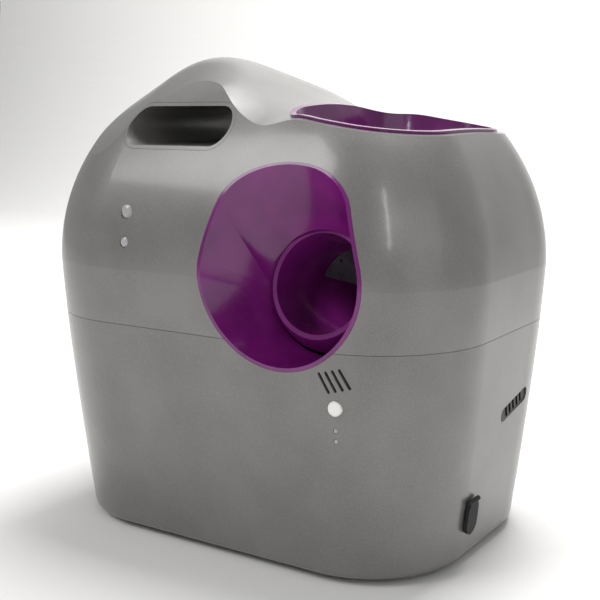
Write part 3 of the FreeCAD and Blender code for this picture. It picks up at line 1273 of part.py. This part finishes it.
# ---------------------------------------------------------------------------
# Build, check and write
# ---------------------------------------------------------------------------
def write_parts():
    faults = [obj.Name for obj in doc.Objects if {"Invalid", "Error"} & set(obj.State)]
    for label, name in part_labels:
        shape = doc.getObject(name).Shape
        if shape.isNull() or not shape.isValid() or not shape.Solids:
            faults.append(label)
    if faults:
        raise RuntimeError(f"no valid shape: {', '.join(faults)}")
    os.makedirs("parts", exist_ok=True)
    for label, name in part_labels:
        shape = doc.getObject(name).Shape
        shape.exportStep(f"parts/{label}.step")
        print(f"{label}: {len(shape.Solids)} solid(s), {shape.Volume / 1000:.1f} cm3")


shape_part("upper_shell", upper_shell())
shape_part("lower_shell", lower_shell())
linings()
side_vent()
feet()
battery_door()
battery_tray()
battery_cells()
battery_contacts()
base_screws()
deck()
barrel()
pivot_ball()
breech_cap()
plunger()
launch_spring()
brackets()
gear_plates()
drive_gears()
motor()
aiming_drive()
dials()
controls()
sensors()
power_inlet()
main_electronics()
ball_detector()
doc.recompute()
write_parts()
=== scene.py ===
# %% [markdown]
# # Automatic dog ball launcher
#
# A free-standing case of grey pearl ABS with a carrying slot, a ball hopper, a purple mouth, two lime
# dials and a spring barrel inside. The CAD model brings every part with its true shape and size, so
# this file is about looks: camera and light, one material for each real finish, and the few shapes
# that are better drawn here than in CAD: a spring that has to shorten and two moulded dials.

import json
import math

import bpy
import numpy as np
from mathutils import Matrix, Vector


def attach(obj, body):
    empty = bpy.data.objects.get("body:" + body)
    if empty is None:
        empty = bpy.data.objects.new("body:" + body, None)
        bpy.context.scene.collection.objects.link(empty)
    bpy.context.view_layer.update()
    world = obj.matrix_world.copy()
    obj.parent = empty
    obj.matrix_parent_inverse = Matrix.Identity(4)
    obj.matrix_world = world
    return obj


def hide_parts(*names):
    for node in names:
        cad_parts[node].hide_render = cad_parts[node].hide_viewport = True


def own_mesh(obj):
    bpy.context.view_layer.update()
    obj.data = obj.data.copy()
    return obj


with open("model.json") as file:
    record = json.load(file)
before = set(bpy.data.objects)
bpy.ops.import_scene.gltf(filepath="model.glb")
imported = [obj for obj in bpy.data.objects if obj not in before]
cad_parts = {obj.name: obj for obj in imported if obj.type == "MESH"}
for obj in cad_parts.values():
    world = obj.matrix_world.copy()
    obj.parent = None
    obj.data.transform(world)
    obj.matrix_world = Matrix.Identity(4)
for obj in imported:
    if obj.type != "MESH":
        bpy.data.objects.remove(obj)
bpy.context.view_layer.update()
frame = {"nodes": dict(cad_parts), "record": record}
nodes = frame["nodes"]


# %% [markdown]
# ## Camera
#
# A view is set by the place it looks at, an azimuth, an elevation and a distance. Standing close makes
# the near corner of the base large and lets the sides run together downwards, as a person sees it who
# looks down at the launcher on the ground.

# %% Camera
LOOK_AT = Vector((0.0, 0.0, 0.166))
AZIMUTH, ELEVATION = 33.0, 10.0
DISTANCE = 0.82
LENS_MM = 64.0


def on_sphere(azimuth, elevation, distance):
    """Centre plus distance times (cos e sin a, -cos e cos a, sin e): azimuth 0 is in front."""
    a, e = math.radians(azimuth), math.radians(elevation)
    return LOOK_AT + distance * Vector((math.cos(e) * math.sin(a), -math.cos(e) * math.cos(a),
                                        math.sin(e)))


camera = bpy.data.objects.new("camera", bpy.data.cameras.new("camera"))
bpy.context.scene.collection.objects.link(camera)
camera.location = on_sphere(AZIMUTH, ELEVATION, DISTANCE)
camera.rotation_euler = (LOOK_AT - camera.location).to_track_quat("-Z", "Y").to_euler()
camera.data.lens = LENS_MM
bpy.context.scene.camera = camera
bpy.context.scene.view_settings.view_transform = "Standard"
print("camera at", tuple(round(value, 3) for value in camera.location))

# %% [markdown]
# ## Colours and nodes
#
# Colours are written as the sRGB hex values that a paint chart gives. Blender computes with linear
# light, so one function turns them over. A second small function adds a node with its settings and
# links, which keeps every material readable from top to bottom. Pattern sizes are given in
# millimetres, because the eye judges a plastic's grain against the size of the thing. Noise runs from
# 0 to 1 but seldom leaves its middle band, so most ranges are read from that band.

# %% Colour and node helpers
MM = 0.001
ABS_IOR, PLASTIC_IOR, RUBBER_IOR, ACRYLIC_IOR = 1.53, 1.5, 1.52, 1.49
NOISE_BAND = {"From_Min": 0.35, "From_Max": 0.65}
FULL_METAL = 1.0


def linear(hex_colour):
    """sRGB hex to linear RGBA: c / 12.92 in the dark end, else ((c + 0.055) / 1.055) to the 2.4."""
    channels = np.array([int(hex_colour[i:i + 2], 16) for i in (0, 2, 4)]) / 255
    bent = np.where(channels <= 0.04045, channels / 12.92, ((channels + 0.055) / 1.055) ** 2.4)
    return (*[float(value) for value in bent], 1.0)


def per(size_mm):
    """The scale that makes a pattern's lumps a size in millimetres: one over that size in metres."""
    return 1 / (size_mm * MM)


def add(tree, kind, settings=None, **links):
    """One node. settings are its own properties. links name its sockets, with _ for a blank or
    before a socket's number, and give each a value or another node's output."""
    node = tree.nodes.new(kind)
    for name, value in (settings or {}).items():
        setattr(node, name, value)
    for name, value in links.items():
        socket = node.inputs[int(name[1:]) if name[0] == "_" else name.replace("_", " ")]
        if isinstance(value, bpy.types.NodeSocket):
            tree.links.new(value, socket)
        else:
            socket.default_value = value
    return node


def new_material(name):
    """An empty material, its node tree and its Object coordinates."""
    made = bpy.data.materials.new(name)
    made.use_nodes = True
    made.node_tree.nodes.clear()
    return made, made.node_tree, add(made.node_tree, "ShaderNodeTexCoord").outputs["Object"]


print("helpers ready; mid grey 808080 is", round(linear("808080")[0], 4), "in linear light")

# %% [markdown]
# ## Case plastic
#
# The case is injection moulded ABS with a fine pearl pigment: mid grey, semi gloss, with a broad soft
# sheen instead of a sharp mirror. The flakes are far under a millimetre, so they are drawn as grain of
# 0.5 mm that only just shows. Clouds of 45 mm are the slow change of tone that flow leaves in a large
# moulding, and a skin of 0.35 mm texture breaks up the reflections.

# %% Pearl grey ABS
def pearl_abs(name, deep, light):
    """Case plastic: soft grey sheen with a faint sparkle."""
    made, tree, where = new_material(name)
    clouds = add(tree, "ShaderNodeTexNoise", Vector=where, Scale=per(45), Detail=2.0)
    flakes = add(tree, "ShaderNodeTexNoise", Vector=where, Scale=per(0.5), Detail=1.0)
    skin = add(tree, "ShaderNodeTexNoise", Vector=where, Scale=per(0.35), Detail=2.0)
    tone = add(tree, "ShaderNodeMapRange", Value=clouds.outputs["Fac"], From_Min=0.3, From_Max=0.7)
    sparkle = add(tree, "ShaderNodeMapRange", Value=flakes.outputs["Fac"], From_Min=0.45,
                  From_Max=0.8, To_Max=0.25)
    base = add(tree, "ShaderNodeMix", {"data_type": "RGBA"}, _0=tone.outputs[0], _6=linear(deep),
               _7=linear(light))
    colour = add(tree, "ShaderNodeMix", {"data_type": "RGBA"}, _0=sparkle.outputs[0],
                 _6=base.outputs[2], _7=linear("B8B6B4"))
    gloss = add(tree, "ShaderNodeMapRange", Value=flakes.outputs["Fac"], **NOISE_BAND, To_Min=0.32,
                To_Max=0.44)
    grain = add(tree, "ShaderNodeBump", Strength=0.5, Distance=0.012 * MM, Height=skin.outputs["Fac"])
    shader = add(tree, "ShaderNodeBsdfPrincipled", Base_Color=colour.outputs[2], Metallic=0.25,
                 Roughness=gloss.outputs[0], IOR=ABS_IOR, Normal=grain.outputs[0],
                 Coat_Weight=0.5, Coat_Roughness=0.14)
    add(tree, "ShaderNodeOutputMaterial", Surface=shader.outputs[0])
    return made


case_upper = pearl_abs("pearl_grey_abs", "6E6C6A", "7A7876")
# The base shell is the same pearl grey ABS painted a little darker: painted shade on the lower half of
# the case.
case_lower = pearl_abs("pearl_grey_abs_shaded_base", "696765", "747270")
print("made", case_upper.name, "and", case_lower.name)

# %% [markdown]
# ## Purple and lime
#
# The mouth, the barrel, the hopper and the dials are gloss ABS in strong colours. Gloss plastic shows
# its colour in the body and a clear white highlight on top, so roughness is low and a thin coat
# carries the highlight. The slight waviness of 14 mm is what a polished mould leaves.

# %% Gloss ABS
def gloss_abs(name, deep, light, roughness):
    """Coloured gloss plastic: deep colour under a crisp white highlight."""
    made, tree, where = new_material(name)
    clouds = add(tree, "ShaderNodeTexNoise", Vector=where, Scale=per(30), Detail=2.0)
    waves = add(tree, "ShaderNodeTexNoise", Vector=where, Scale=per(14), Detail=0.0)
    wear = add(tree, "ShaderNodeTexNoise", Vector=where, Scale=per(4), Detail=4.0)
    tone = add(tree, "ShaderNodeMapRange", Value=clouds.outputs["Fac"], **NOISE_BAND)
    colour = add(tree, "ShaderNodeMix", {"data_type": "RGBA"}, _0=tone.outputs[0], _6=linear(deep),
                 _7=linear(light))
    gloss = add(tree, "ShaderNodeMapRange", Value=wear.outputs["Fac"], From_Min=0.4, From_Max=0.7,
                To_Min=roughness, To_Max=roughness + 0.08)
    swell = add(tree, "ShaderNodeBump", Strength=0.4, Distance=0.05 * MM, Height=waves.outputs["Fac"])
    shader = add(tree, "ShaderNodeBsdfPrincipled", Base_Color=colour.outputs[2], IOR=ABS_IOR,
                 Roughness=gloss.outputs[0], Normal=swell.outputs[0], Coat_Weight=0.2,
                 Coat_Roughness=0.05)
    add(tree, "ShaderNodeOutputMaterial", Surface=shader.outputs[0])
    return made


purple = gloss_abs("purple_gloss_abs", "64125F", "761A70", 0.14)
lime = gloss_abs("lime_gloss_abs", "A9C431", "B7CF3D", 0.22)
print("made", purple.name, "and", lime.name)

# %% [markdown]
# ## Dark and inner plastics
#
# Trim and switches are black or grey plastic from a spark-eroded mould, which leaves an even, fine
# leathery grain of about 0.6 mm. The button is the same process in smooth white. The gears are acetal:
# off-white, waxy, and a little light passes into it.

# %% Textured plastics
def eroded_plastic(name, colour, roughness, grain_mm, inside=0.0):
    """Fine-grained moulded plastic: even tone, broken-up sheen. inside is how much light enters."""
    made, tree, where = new_material(name)
    pits = add(tree, "ShaderNodeTexNoise", Vector=where, Scale=per(grain_mm), Detail=3.0)
    cast = add(tree, "ShaderNodeTexNoise", Vector=where, Scale=per(25), Detail=2.0)
    tone = add(tree, "ShaderNodeMapRange", Value=cast.outputs["Fac"], **NOISE_BAND, To_Min=0.92,
               To_Max=1.08)
    shade = add(tree, "ShaderNodeHueSaturation", Color=linear(colour), Value=tone.outputs[0])
    gloss = add(tree, "ShaderNodeMapRange", Value=pits.outputs["Fac"], **NOISE_BAND,
                To_Min=roughness - 0.06, To_Max=roughness + 0.08)
    grain = add(tree, "ShaderNodeBump", Strength=0.6, Distance=0.03 * MM, Height=pits.outputs["Fac"])
    shader = add(tree, "ShaderNodeBsdfPrincipled", Base_Color=shade.outputs[0], IOR=PLASTIC_IOR,
                 Roughness=gloss.outputs[0], Normal=grain.outputs[0], Subsurface_Weight=inside,
                 Subsurface_Radius=(2 * MM, 2 * MM, 1.5 * MM))
    add(tree, "ShaderNodeOutputMaterial", Surface=shader.outputs[0])
    return made


dark_trim = eroded_plastic("black_eroded_abs", "1B1A1C", 0.45, 0.6)
grey_plastic = eroded_plastic("grey_eroded_abs", "56565A", 0.5, 0.6)
white_plastic = eroded_plastic("white_abs", "E8E8E4", 0.28, 0.3)
acetal = eroded_plastic("natural_acetal", "E4E1D6", 0.38, 0.4, 0.15)
print("made", ", ".join(one.name for one in (dark_trim, grey_plastic, white_plastic, acetal)))

# %% [markdown]
# ## Rubber and foam
#
# The feet and the inlet flap are moulded rubber: nearly black, matt, with a dusty bloom in patches of
# some 6 mm. The pad on the plunger is closed-cell foam, whose cut face shows cells of about 1 mm.

# %% Rubber and foam
def soft_black(name, colour, bloom, cell_mm, dent_mm):
    """Matt black rubber or foam: dusty patches over small cells that dent the face."""
    made, tree, where = new_material(name)
    dust = add(tree, "ShaderNodeTexNoise", Vector=where, Scale=per(6), Detail=4.0)
    cells = add(tree, "ShaderNodeTexVoronoi", Vector=where, Scale=per(cell_mm))
    share = add(tree, "ShaderNodeMapRange", Value=dust.outputs["Fac"], **NOISE_BAND, To_Max=0.5)
    colour_mix = add(tree, "ShaderNodeMix", {"data_type": "RGBA"}, _0=share.outputs[0],
                     _6=linear(colour), _7=linear(bloom))
    dents = add(tree, "ShaderNodeBump", Strength=0.6, Distance=dent_mm * MM,
                Height=cells.outputs["Distance"])
    shader = add(tree, "ShaderNodeBsdfPrincipled", Base_Color=colour_mix.outputs[2], Roughness=0.75,
                 IOR=RUBBER_IOR, Normal=dents.outputs[0])
    add(tree, "ShaderNodeOutputMaterial", Surface=shader.outputs[0])
    return made


foot_rubber = soft_black("black_rubber", "141415", "2A2A2B", 0.5, 0.03)
pad_foam = soft_black("closed_foam", "232325", "343436", 1.1, 0.4)
print("made", foot_rubber.name, "and", pad_foam.name)

# %% [markdown]
# ## Metals
#
# Sheet parts are zinc plated steel, whose coat dries in crystals about 5 mm wide. Shafts and screws
# are bright drawn steel with fine lines along the draw, and the pillars and pinion are turned brass.

# %% Plated sheet
def plated_sheet(name, deep, light):
    """Zinc plate: a cool grey patchwork whose patches catch the light one by one."""
    made, tree, where = new_material(name)
    crystals = add(tree, "ShaderNodeTexVoronoi", Vector=where, Scale=per(5))
    stain = add(tree, "ShaderNodeTexNoise", Vector=where, Scale=per(3), Detail=3.0)
    colour = add(tree, "ShaderNodeMix", {"data_type": "RGBA"}, _0=crystals.outputs["Distance"],
                 _6=linear(deep), _7=linear(light))
    gloss = add(tree, "ShaderNodeMapRange", Value=stain.outputs["Fac"], **NOISE_BAND, To_Min=0.28,
                To_Max=0.48)
    shader = add(tree, "ShaderNodeBsdfPrincipled", Base_Color=colour.outputs[2], Metallic=FULL_METAL,
                 Roughness=gloss.outputs[0])
    add(tree, "ShaderNodeOutputMaterial", Surface=shader.outputs[0])
    return made


zinc_sheet = plated_sheet("zinc_plated_steel", "A9ADB3", "C9CCD1")
motor_steel = plated_sheet("motor_can_steel", "B4B5B7", "C8C8CA")
print("made", zinc_sheet.name, "and", motor_steel.name)


# %% Drawn and turned metal
def drawn_metal(name, deep, light, stretch, roughness):
    """Bright metal with fine tool lines; stretch squeezes the pattern so that lines run one way."""
    made, tree, where = new_material(name)
    along = add(tree, "ShaderNodeMapping", Vector=where, Scale=stretch)
    lines = add(tree, "ShaderNodeTexNoise", Vector=along.outputs[0], Scale=per(0.4), Detail=3.0)
    colour = add(tree, "ShaderNodeMix", {"data_type": "RGBA"}, _0=lines.outputs["Fac"],
                 _6=linear(deep), _7=linear(light))
    gloss = add(tree, "ShaderNodeMapRange", Value=lines.outputs["Fac"], **NOISE_BAND,
                To_Min=roughness, To_Max=roughness + 0.16)
    shader = add(tree, "ShaderNodeBsdfPrincipled", Base_Color=colour.outputs[2], Metallic=FULL_METAL,
                 Roughness=gloss.outputs[0])
    add(tree, "ShaderNodeOutputMaterial", Surface=shader.outputs[0])
    return made


bright_steel = drawn_metal("drawn_steel", "A8A8AA", "D2D2D4", (0.05, 1, 1), 0.22)
spring_wire = drawn_metal("spring_steel_wire", "9C9EA2", "CFCFD2", (1, 0.2, 1), 0.25)
turned_brass = drawn_metal("turned_brass", "B08D3C", "D9B765", (0.1, 1, 1), 0.24)
print("made", ", ".join(one.name for one in (bright_steel, spring_wire, turned_brass)))

# %% [markdown]
# ## Boards, cells and lenses
#
# Circuit boards are glass fibre under green solder mask, with copper tracks that show as slightly
# lighter straight lines about 2 mm apart. The D cells wear a plain shrink film with small wrinkles.
# The two sensor lenses and the lamps are clear acrylic.

# %% Boards, cells and lenses
board_green, tree, where = new_material("green_circuit_board")
tracks = add(tree, "ShaderNodeTexBrick", Vector=where, Scale=per(10), Color1=linear("0F4A2A"),
             Color2=linear("12552F"), Mortar=linear("2C7A4A"), Mortar_Size=0.04, Brick_Width=0.7,
             Row_Height=0.22)
shader = add(tree, "ShaderNodeBsdfPrincipled", Base_Color=tracks.outputs["Color"], Roughness=0.3,
             IOR=PLASTIC_IOR, Coat_Weight=0.3)
add(tree, "ShaderNodeOutputMaterial", Surface=shader.outputs[0])

cell_film, tree, where = new_material("plain_cell_film")
wrinkles = add(tree, "ShaderNodeTexNoise", Vector=where, Scale=per(8), Detail=3.0)
colour = add(tree, "ShaderNodeMix", {"data_type": "RGBA"}, _0=wrinkles.outputs["Fac"],
             _6=linear("22375F"), _7=linear("35507F"))
folds = add(tree, "ShaderNodeBump", Strength=0.4, Distance=0.1 * MM, Height=wrinkles.outputs["Fac"])
shader = add(tree, "ShaderNodeBsdfPrincipled", Base_Color=colour.outputs[2], Roughness=0.25,
             IOR=PLASTIC_IOR, Normal=folds.outputs[0], Coat_Weight=0.4)
add(tree, "ShaderNodeOutputMaterial", Surface=shader.outputs[0])

clear_acrylic, tree, where = new_material("clear_acrylic")
haze = add(tree, "ShaderNodeTexNoise", Vector=where, Scale=per(3), Detail=2.0)
gloss = add(tree, "ShaderNodeMapRange", Value=haze.outputs["Fac"], **NOISE_BAND, To_Min=0.03,
            To_Max=0.12)
shader = add(tree, "ShaderNodeBsdfPrincipled", Base_Color=linear("F4F4F6"),
             Roughness=gloss.outputs[0], IOR=ACRYLIC_IOR, Transmission_Weight=0.6)
add(tree, "ShaderNodeOutputMaterial", Surface=shader.outputs[0])
print("made", ", ".join(one.name for one in (board_green, cell_film, clear_acrylic)))

# %% [markdown]
# ## Dress the CAD nodes
#
# Each node of the CAD model keeps its shape and takes the finish of the record's material slot.

# %% Materials on the CAD nodes
FINISHES = {
    "case_upper": case_upper, "case_lower": case_lower, "purple": purple, "lime": lime,
    "dark_trim": dark_trim, "grey_plastic": grey_plastic, "white_plastic": white_plastic,
    "acetal": acetal, "rubber": foot_rubber, "pad_foam": pad_foam, "steel": bright_steel,
    "spring_steel": spring_wire, "zinc": zinc_sheet, "brass": turned_brass,
    "motor_can": motor_steel, "cell_wrap": cell_film, "circuit_board": board_green,
    "clear_lens": clear_acrylic,
}
for part in frame["record"]["subparts"]:
    slots = nodes[part["node"]].data.materials
    slots.clear()
    slots.append(FINISHES[part["material_slot"]])
print("dressed", len(nodes), "CAD nodes with", len(FINISHES), "finishes")

# %% [markdown]
# ## New pieces
#
# Every new piece is a mesh computed on a grid, in the row frame, so its object stays at the origin.
# Each one stands for a CAD node, rides on that node's body and keeps inside the CAD box.

# %% Grid to mesh
def grid_mesh(name, rings):
    """Rings of points, each closed on itself, joined by four-sided faces. Both end rings are closed by
    a fan of triangles about the ring's middle."""
    count, around = rings.shape[:2]
    points = np.concatenate([rings.reshape(-1, 3), [rings[0].mean(0), rings[-1].mean(0)]])
    ring, step = np.meshgrid(np.arange(count - 1), np.arange(around), indexing="ij")
    here, following = ring * around, (step + 1) % around
    quads = np.stack([here + step, here + following, here + around + following,
                      here + around + step], -1).reshape(-1, 4)
    first, last, end = count * around, count * around + 1, (count - 1) * around
    caps = [[first, (i + 1) % around, i] for i in range(around)]
    caps += [[last, end + i, end + (i + 1) % around] for i in range(around)]
    mesh = bpy.data.meshes.new(name)
    mesh.from_pydata(points.tolist(), [], quads.tolist() + caps)
    mesh.polygons.foreach_set("use_smooth", np.ones(len(mesh.polygons), bool))
    return mesh


def place(name, mesh, finish, stands_for, body):
    """A new object at the origin with one material, in the place of a CAD node on its body."""
    mesh.materials.append(finish)
    made = bpy.data.objects.new(name, mesh)
    bpy.context.scene.collection.objects.link(made)
    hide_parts(stands_for)
    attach(made, body)
    print(name, "has", len(mesh.polygons), "faces and rides on", body)
    return made


test_rings = np.array([[[1, 0, z], [0, 1, z], [-1, -1, z]] for z in (0.0, 1.0)])
test_mesh = grid_mesh("prism", test_rings)
print("a three-sided test prism has", len(test_mesh.polygons), "faces")
bpy.data.meshes.remove(test_mesh)

# %% [markdown]
# ## Launch spring
#
# A compression spring of 2 mm wire behind the plunger. On the real one the end turns lie flat, so the
# pitch starts and ends near zero. When the gears draw the plunger back, the real coil shortens along
# the barrel towards the breech cap; here it is drawn at rest and rides with the launch unit.

# %% Launch spring
BARREL_SIDE, PIVOT_DEPTH, PIVOT_HEIGHT = 0.073, 0.062, 0.190
REST_TILT = math.radians(15)
SPRING_START, SPRING_END = 0.1112, 0.1508
SPRING_RADIUS, WIRE_RADIUS, TURNS = 0.022, 0.001, 6
END_EASE = 0.8


def in_barrel_frame(side, along, above):
    """Local points turned by the barrel's tilt about X and moved to its pivot."""
    return np.stack([BARREL_SIDE + side,
                     -PIVOT_DEPTH + along * math.cos(REST_TILT) + above * math.sin(REST_TILT),
                     PIVOT_HEIGHT - along * math.sin(REST_TILT) + above * math.cos(REST_TILT)], -1)


def coil_rings(around=12, per_turn=40):
    """A round wire along a helix: at share s of the turns the wire has advanced by the share
    s - ease sin(2 pi s) / (2 pi), so both ends lie nearly flat. Ring points are the path plus the
    wire's radius times (cos v outwards, sin v along)."""
    share = np.linspace(0, 1, TURNS * per_turn + 1)
    advance = share - END_EASE * np.sin(2 * np.pi * share) / (2 * np.pi)
    angle = 2 * np.pi * TURNS * share
    v = np.linspace(0, 2 * np.pi, around, endpoint=False)
    reach = SPRING_RADIUS + WIRE_RADIUS * np.cos(v)[None, :]
    side, above = reach * np.cos(angle)[:, None], -reach * np.sin(angle)[:, None]
    along = SPRING_START + (SPRING_END - SPRING_START) * advance
    return in_barrel_frame(side, along[:, None] + WIRE_RADIUS * np.sin(v), above)


coil = place("coil_spring", grid_mesh("coil_spring", coil_rings()), spring_wire, "launch_spring",
             "launch_unit")
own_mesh(coil)

# %% [markdown]
# ## Dials
#
# The CAD dials are plain outlines. The moulded ones have soft edges: six rounded lobes on the left
# dial, and a fine ridged rim with a rounded grip bar on the back dial, which fingers catch on. Both
# sit in their cups, level with the case, and turn with their shafts. A dial is drawn in rings, each a
# share of the outline at a level in millimetres, where level 0 is the face of the case.

# %% Moulded dials
DIAL_REACH, DIAL_HEIGHT = -0.017, 0.190
POWER_SIDE, POWER_HEIGHT = 0.073, 0.160
LEFT_FACE, REAR_FACE = -0.174, 0.126
LOBES, LOBE_RADIUS, LOBE_SWING = 6, 22.1, 3.4
RIDGES, RIDGE_RADIUS, RIDGE_SWING = 40, 25.5, 0.4
BAR_HALF_WIDTH, BAR_HALF_LENGTH, BAR_SIDE, BAR_HEIGHT = 4.0, 22.0, 1.6, 4.0
STAR_BACK, STAR_HOLLOW = -7.9, 0.9
DISC_BACK, DISC_SINK = -8.4, 4.0
RIM_FACE = -0.1
SOFT_EDGE = [(1.0, -1.3), (0.992, -0.7), (0.972, -0.3), (0.94, RIM_FACE)]
BACK_RINGS = 4


def dial_rings(radius, steps, bar_height=0.0, around=240):
    """Rings of a dial as (across, up, out): ring k has the outline radius(t) times its share and its
    own level. bar_height raises a rounded bar on the front rings: across its sides the height eases
    from 0 to 1 by u u (3 - 2 u)."""
    t = np.linspace(0, 2 * np.pi, around, endpoint=False)
    share = np.array([step[0] for step in steps])[:, None]
    level = np.array([step[1] for step in steps])[:, None]
    across, up = share * radius(t) * np.cos(t), share * radius(t) * np.sin(t)
    in_width = np.clip((BAR_HALF_WIDTH * MM - np.abs(up)) / (BAR_SIDE * MM), 0, 1)
    in_length = np.clip((BAR_HALF_LENGTH * MM - np.abs(across)) / (BAR_SIDE * MM), 0, 1)
    inside = np.minimum(in_width, in_length)
    front = np.arange(len(steps))[:, None] >= BACK_RINGS
    out = level * MM + front * bar_height * MM * inside * inside * (3 - 2 * inside)
    return across, up, out


def lobes(t):
    """The outline of the left dial: mean radius plus swing times cos 6t."""
    return (LOBE_RADIUS + LOBE_SWING * np.cos(LOBES * t)) * MM


def ridges(t):
    """The outline of the rear dial: a finely ridged rim, mean radius plus swing times cos 40t."""
    return (RIDGE_RADIUS + RIDGE_SWING * np.cos(RIDGES * t)) * MM


star_steps = [(0.3, STAR_BACK), (0.9, STAR_BACK), (1.0, STAR_BACK + 0.3)] + SOFT_EDGE
star_steps += [(share, RIM_FACE - STAR_HOLLOW * (1 - share)) for share in np.linspace(0.88, 0.06, 14)]
across, up, out = dial_rings(lobes, star_steps)
star_rings = np.stack([LEFT_FACE - out, DIAL_REACH - across, DIAL_HEIGHT + up], -1)
place("six_lobed_dial", grid_mesh("six_lobed_dial", star_rings), lime, "angle_dial", "angle_knob")

disc_steps = [(0.3, DISC_BACK), (0.95, DISC_BACK), (1.0, DISC_BACK + 0.2)]
disc_steps += [(share, level - DISC_SINK) for share, level in SOFT_EDGE]
disc_steps += [(share, RIM_FACE - DISC_SINK) for share in np.linspace(0.92, 0.02, 46)]
across, up, out = dial_rings(ridges, disc_steps, bar_height=BAR_HEIGHT)
disc_rings = np.stack([POWER_SIDE - across, REAR_FACE + out, POWER_HEIGHT + up], -1)
place("ridged_dial", grid_mesh("ridged_dial", disc_rings), lime, "distance_dial", "distance_knob")
print("dials span", round(float(np.ptp(star_rings[..., 1])) / MM, 1), "and",
      round(float(np.ptp(disc_rings[..., 0])) / MM, 1), "mm")

# %% [markdown]
# ## Floor and light
#
# A pale floor that runs up into a backdrop, and light like an open sky with thin cloud: most of it
# from above, so the crown and the saddle shine and the walls stay mid grey. A weaker key from the
# front left shapes the front, a faint fill opens the shadows on the right, and a narrow strip draws a
# thin line down the front corner. One lamp behind the machine faces away and lights the backdrop.

# %% Floor
def floor_sheet(half_width=3.0, front=-2.5, back=1.6, rise=2.2, bend=0.8, steps=16):
    """A flat floor that bends up through a quarter circle of radius bend into a wall:
    y = back + bend sin t, z = bend (1 - cos t) along the bend."""
    turn = np.linspace(0, np.pi / 2, steps + 1)
    profile_y = np.concatenate([[front, back], back + bend * np.sin(turn[1:]), [back + bend]])
    profile_z = np.concatenate([[0, 0], bend * (1 - np.cos(turn[1:])), [rise]])
    count = len(profile_y)
    points = np.concatenate([np.stack([np.full(count, side), profile_y, profile_z], 1)
                             for side in (-half_width, half_width)])
    first = np.arange(count - 1)
    faces = np.stack([first, first + count, first + count + 1, first + 1], 1)
    mesh = bpy.data.meshes.new("floor")
    mesh.from_pydata(points.tolist(), [], faces.tolist())
    return mesh


floor = bpy.data.objects.new("floor", floor_sheet())
bpy.context.scene.collection.objects.link(floor)
floor_paint, tree, _ = new_material("pale_floor_paint")
shader = add(tree, "ShaderNodeBsdfPrincipled", Base_Color=linear("E9E8E6"), Roughness=0.85)
add(tree, "ShaderNodeOutputMaterial", Surface=shader.outputs[0])
floor.data.materials.append(floor_paint)
print("floor of", len(floor.data.polygons), "faces")

# %% Lamps and world
def lamp(name, location, width, height, power, aim=LOOK_AT):
    """A rectangular area lamp of a size in metres and a power in watts, turned to face a point."""
    data = bpy.data.lights.new(name, "AREA")
    data.shape, data.size, data.size_y, data.energy = "RECTANGLE", width, height, power
    made = bpy.data.objects.new(name, data)
    bpy.context.scene.collection.objects.link(made)
    made.location = location
    made.rotation_euler = (aim - made.location).to_track_quat("-Z", "Y").to_euler()
    return made


WALL_POINT = Vector((-1.6, 2.4, 0.5))
LAMPS = [
    lamp("key", (-0.9, -1.3, 1.5), width=1.0, height=1.0, power=15),
    lamp("fill", (1.6, -0.6, 0.7), width=1.2, height=1.2, power=3),
    lamp("sky", (0.05, 0.5, 1.6), width=0.7, height=0.9, power=30),
    lamp("streak", (0.9, -1.0, 0.9), width=0.05, height=0.8, power=2),
    lamp("backdrop", (-1.1, 0.9, 1.7), width=1.6, height=0.8, power=30, aim=WALL_POINT),
]
SKY_STRENGTH = 0.38
world = bpy.data.worlds.new("studio")
bpy.context.scene.world = world
world.use_nodes = True
background = world.node_tree.nodes["Background"]
background.inputs["Color"].default_value = linear("EDEEF0")
background.inputs["Strength"].default_value = SKY_STRENGTH
print("lamps:", ", ".join(f"{one.name} {one.data.energy:.0f} W" for one in LAMPS))
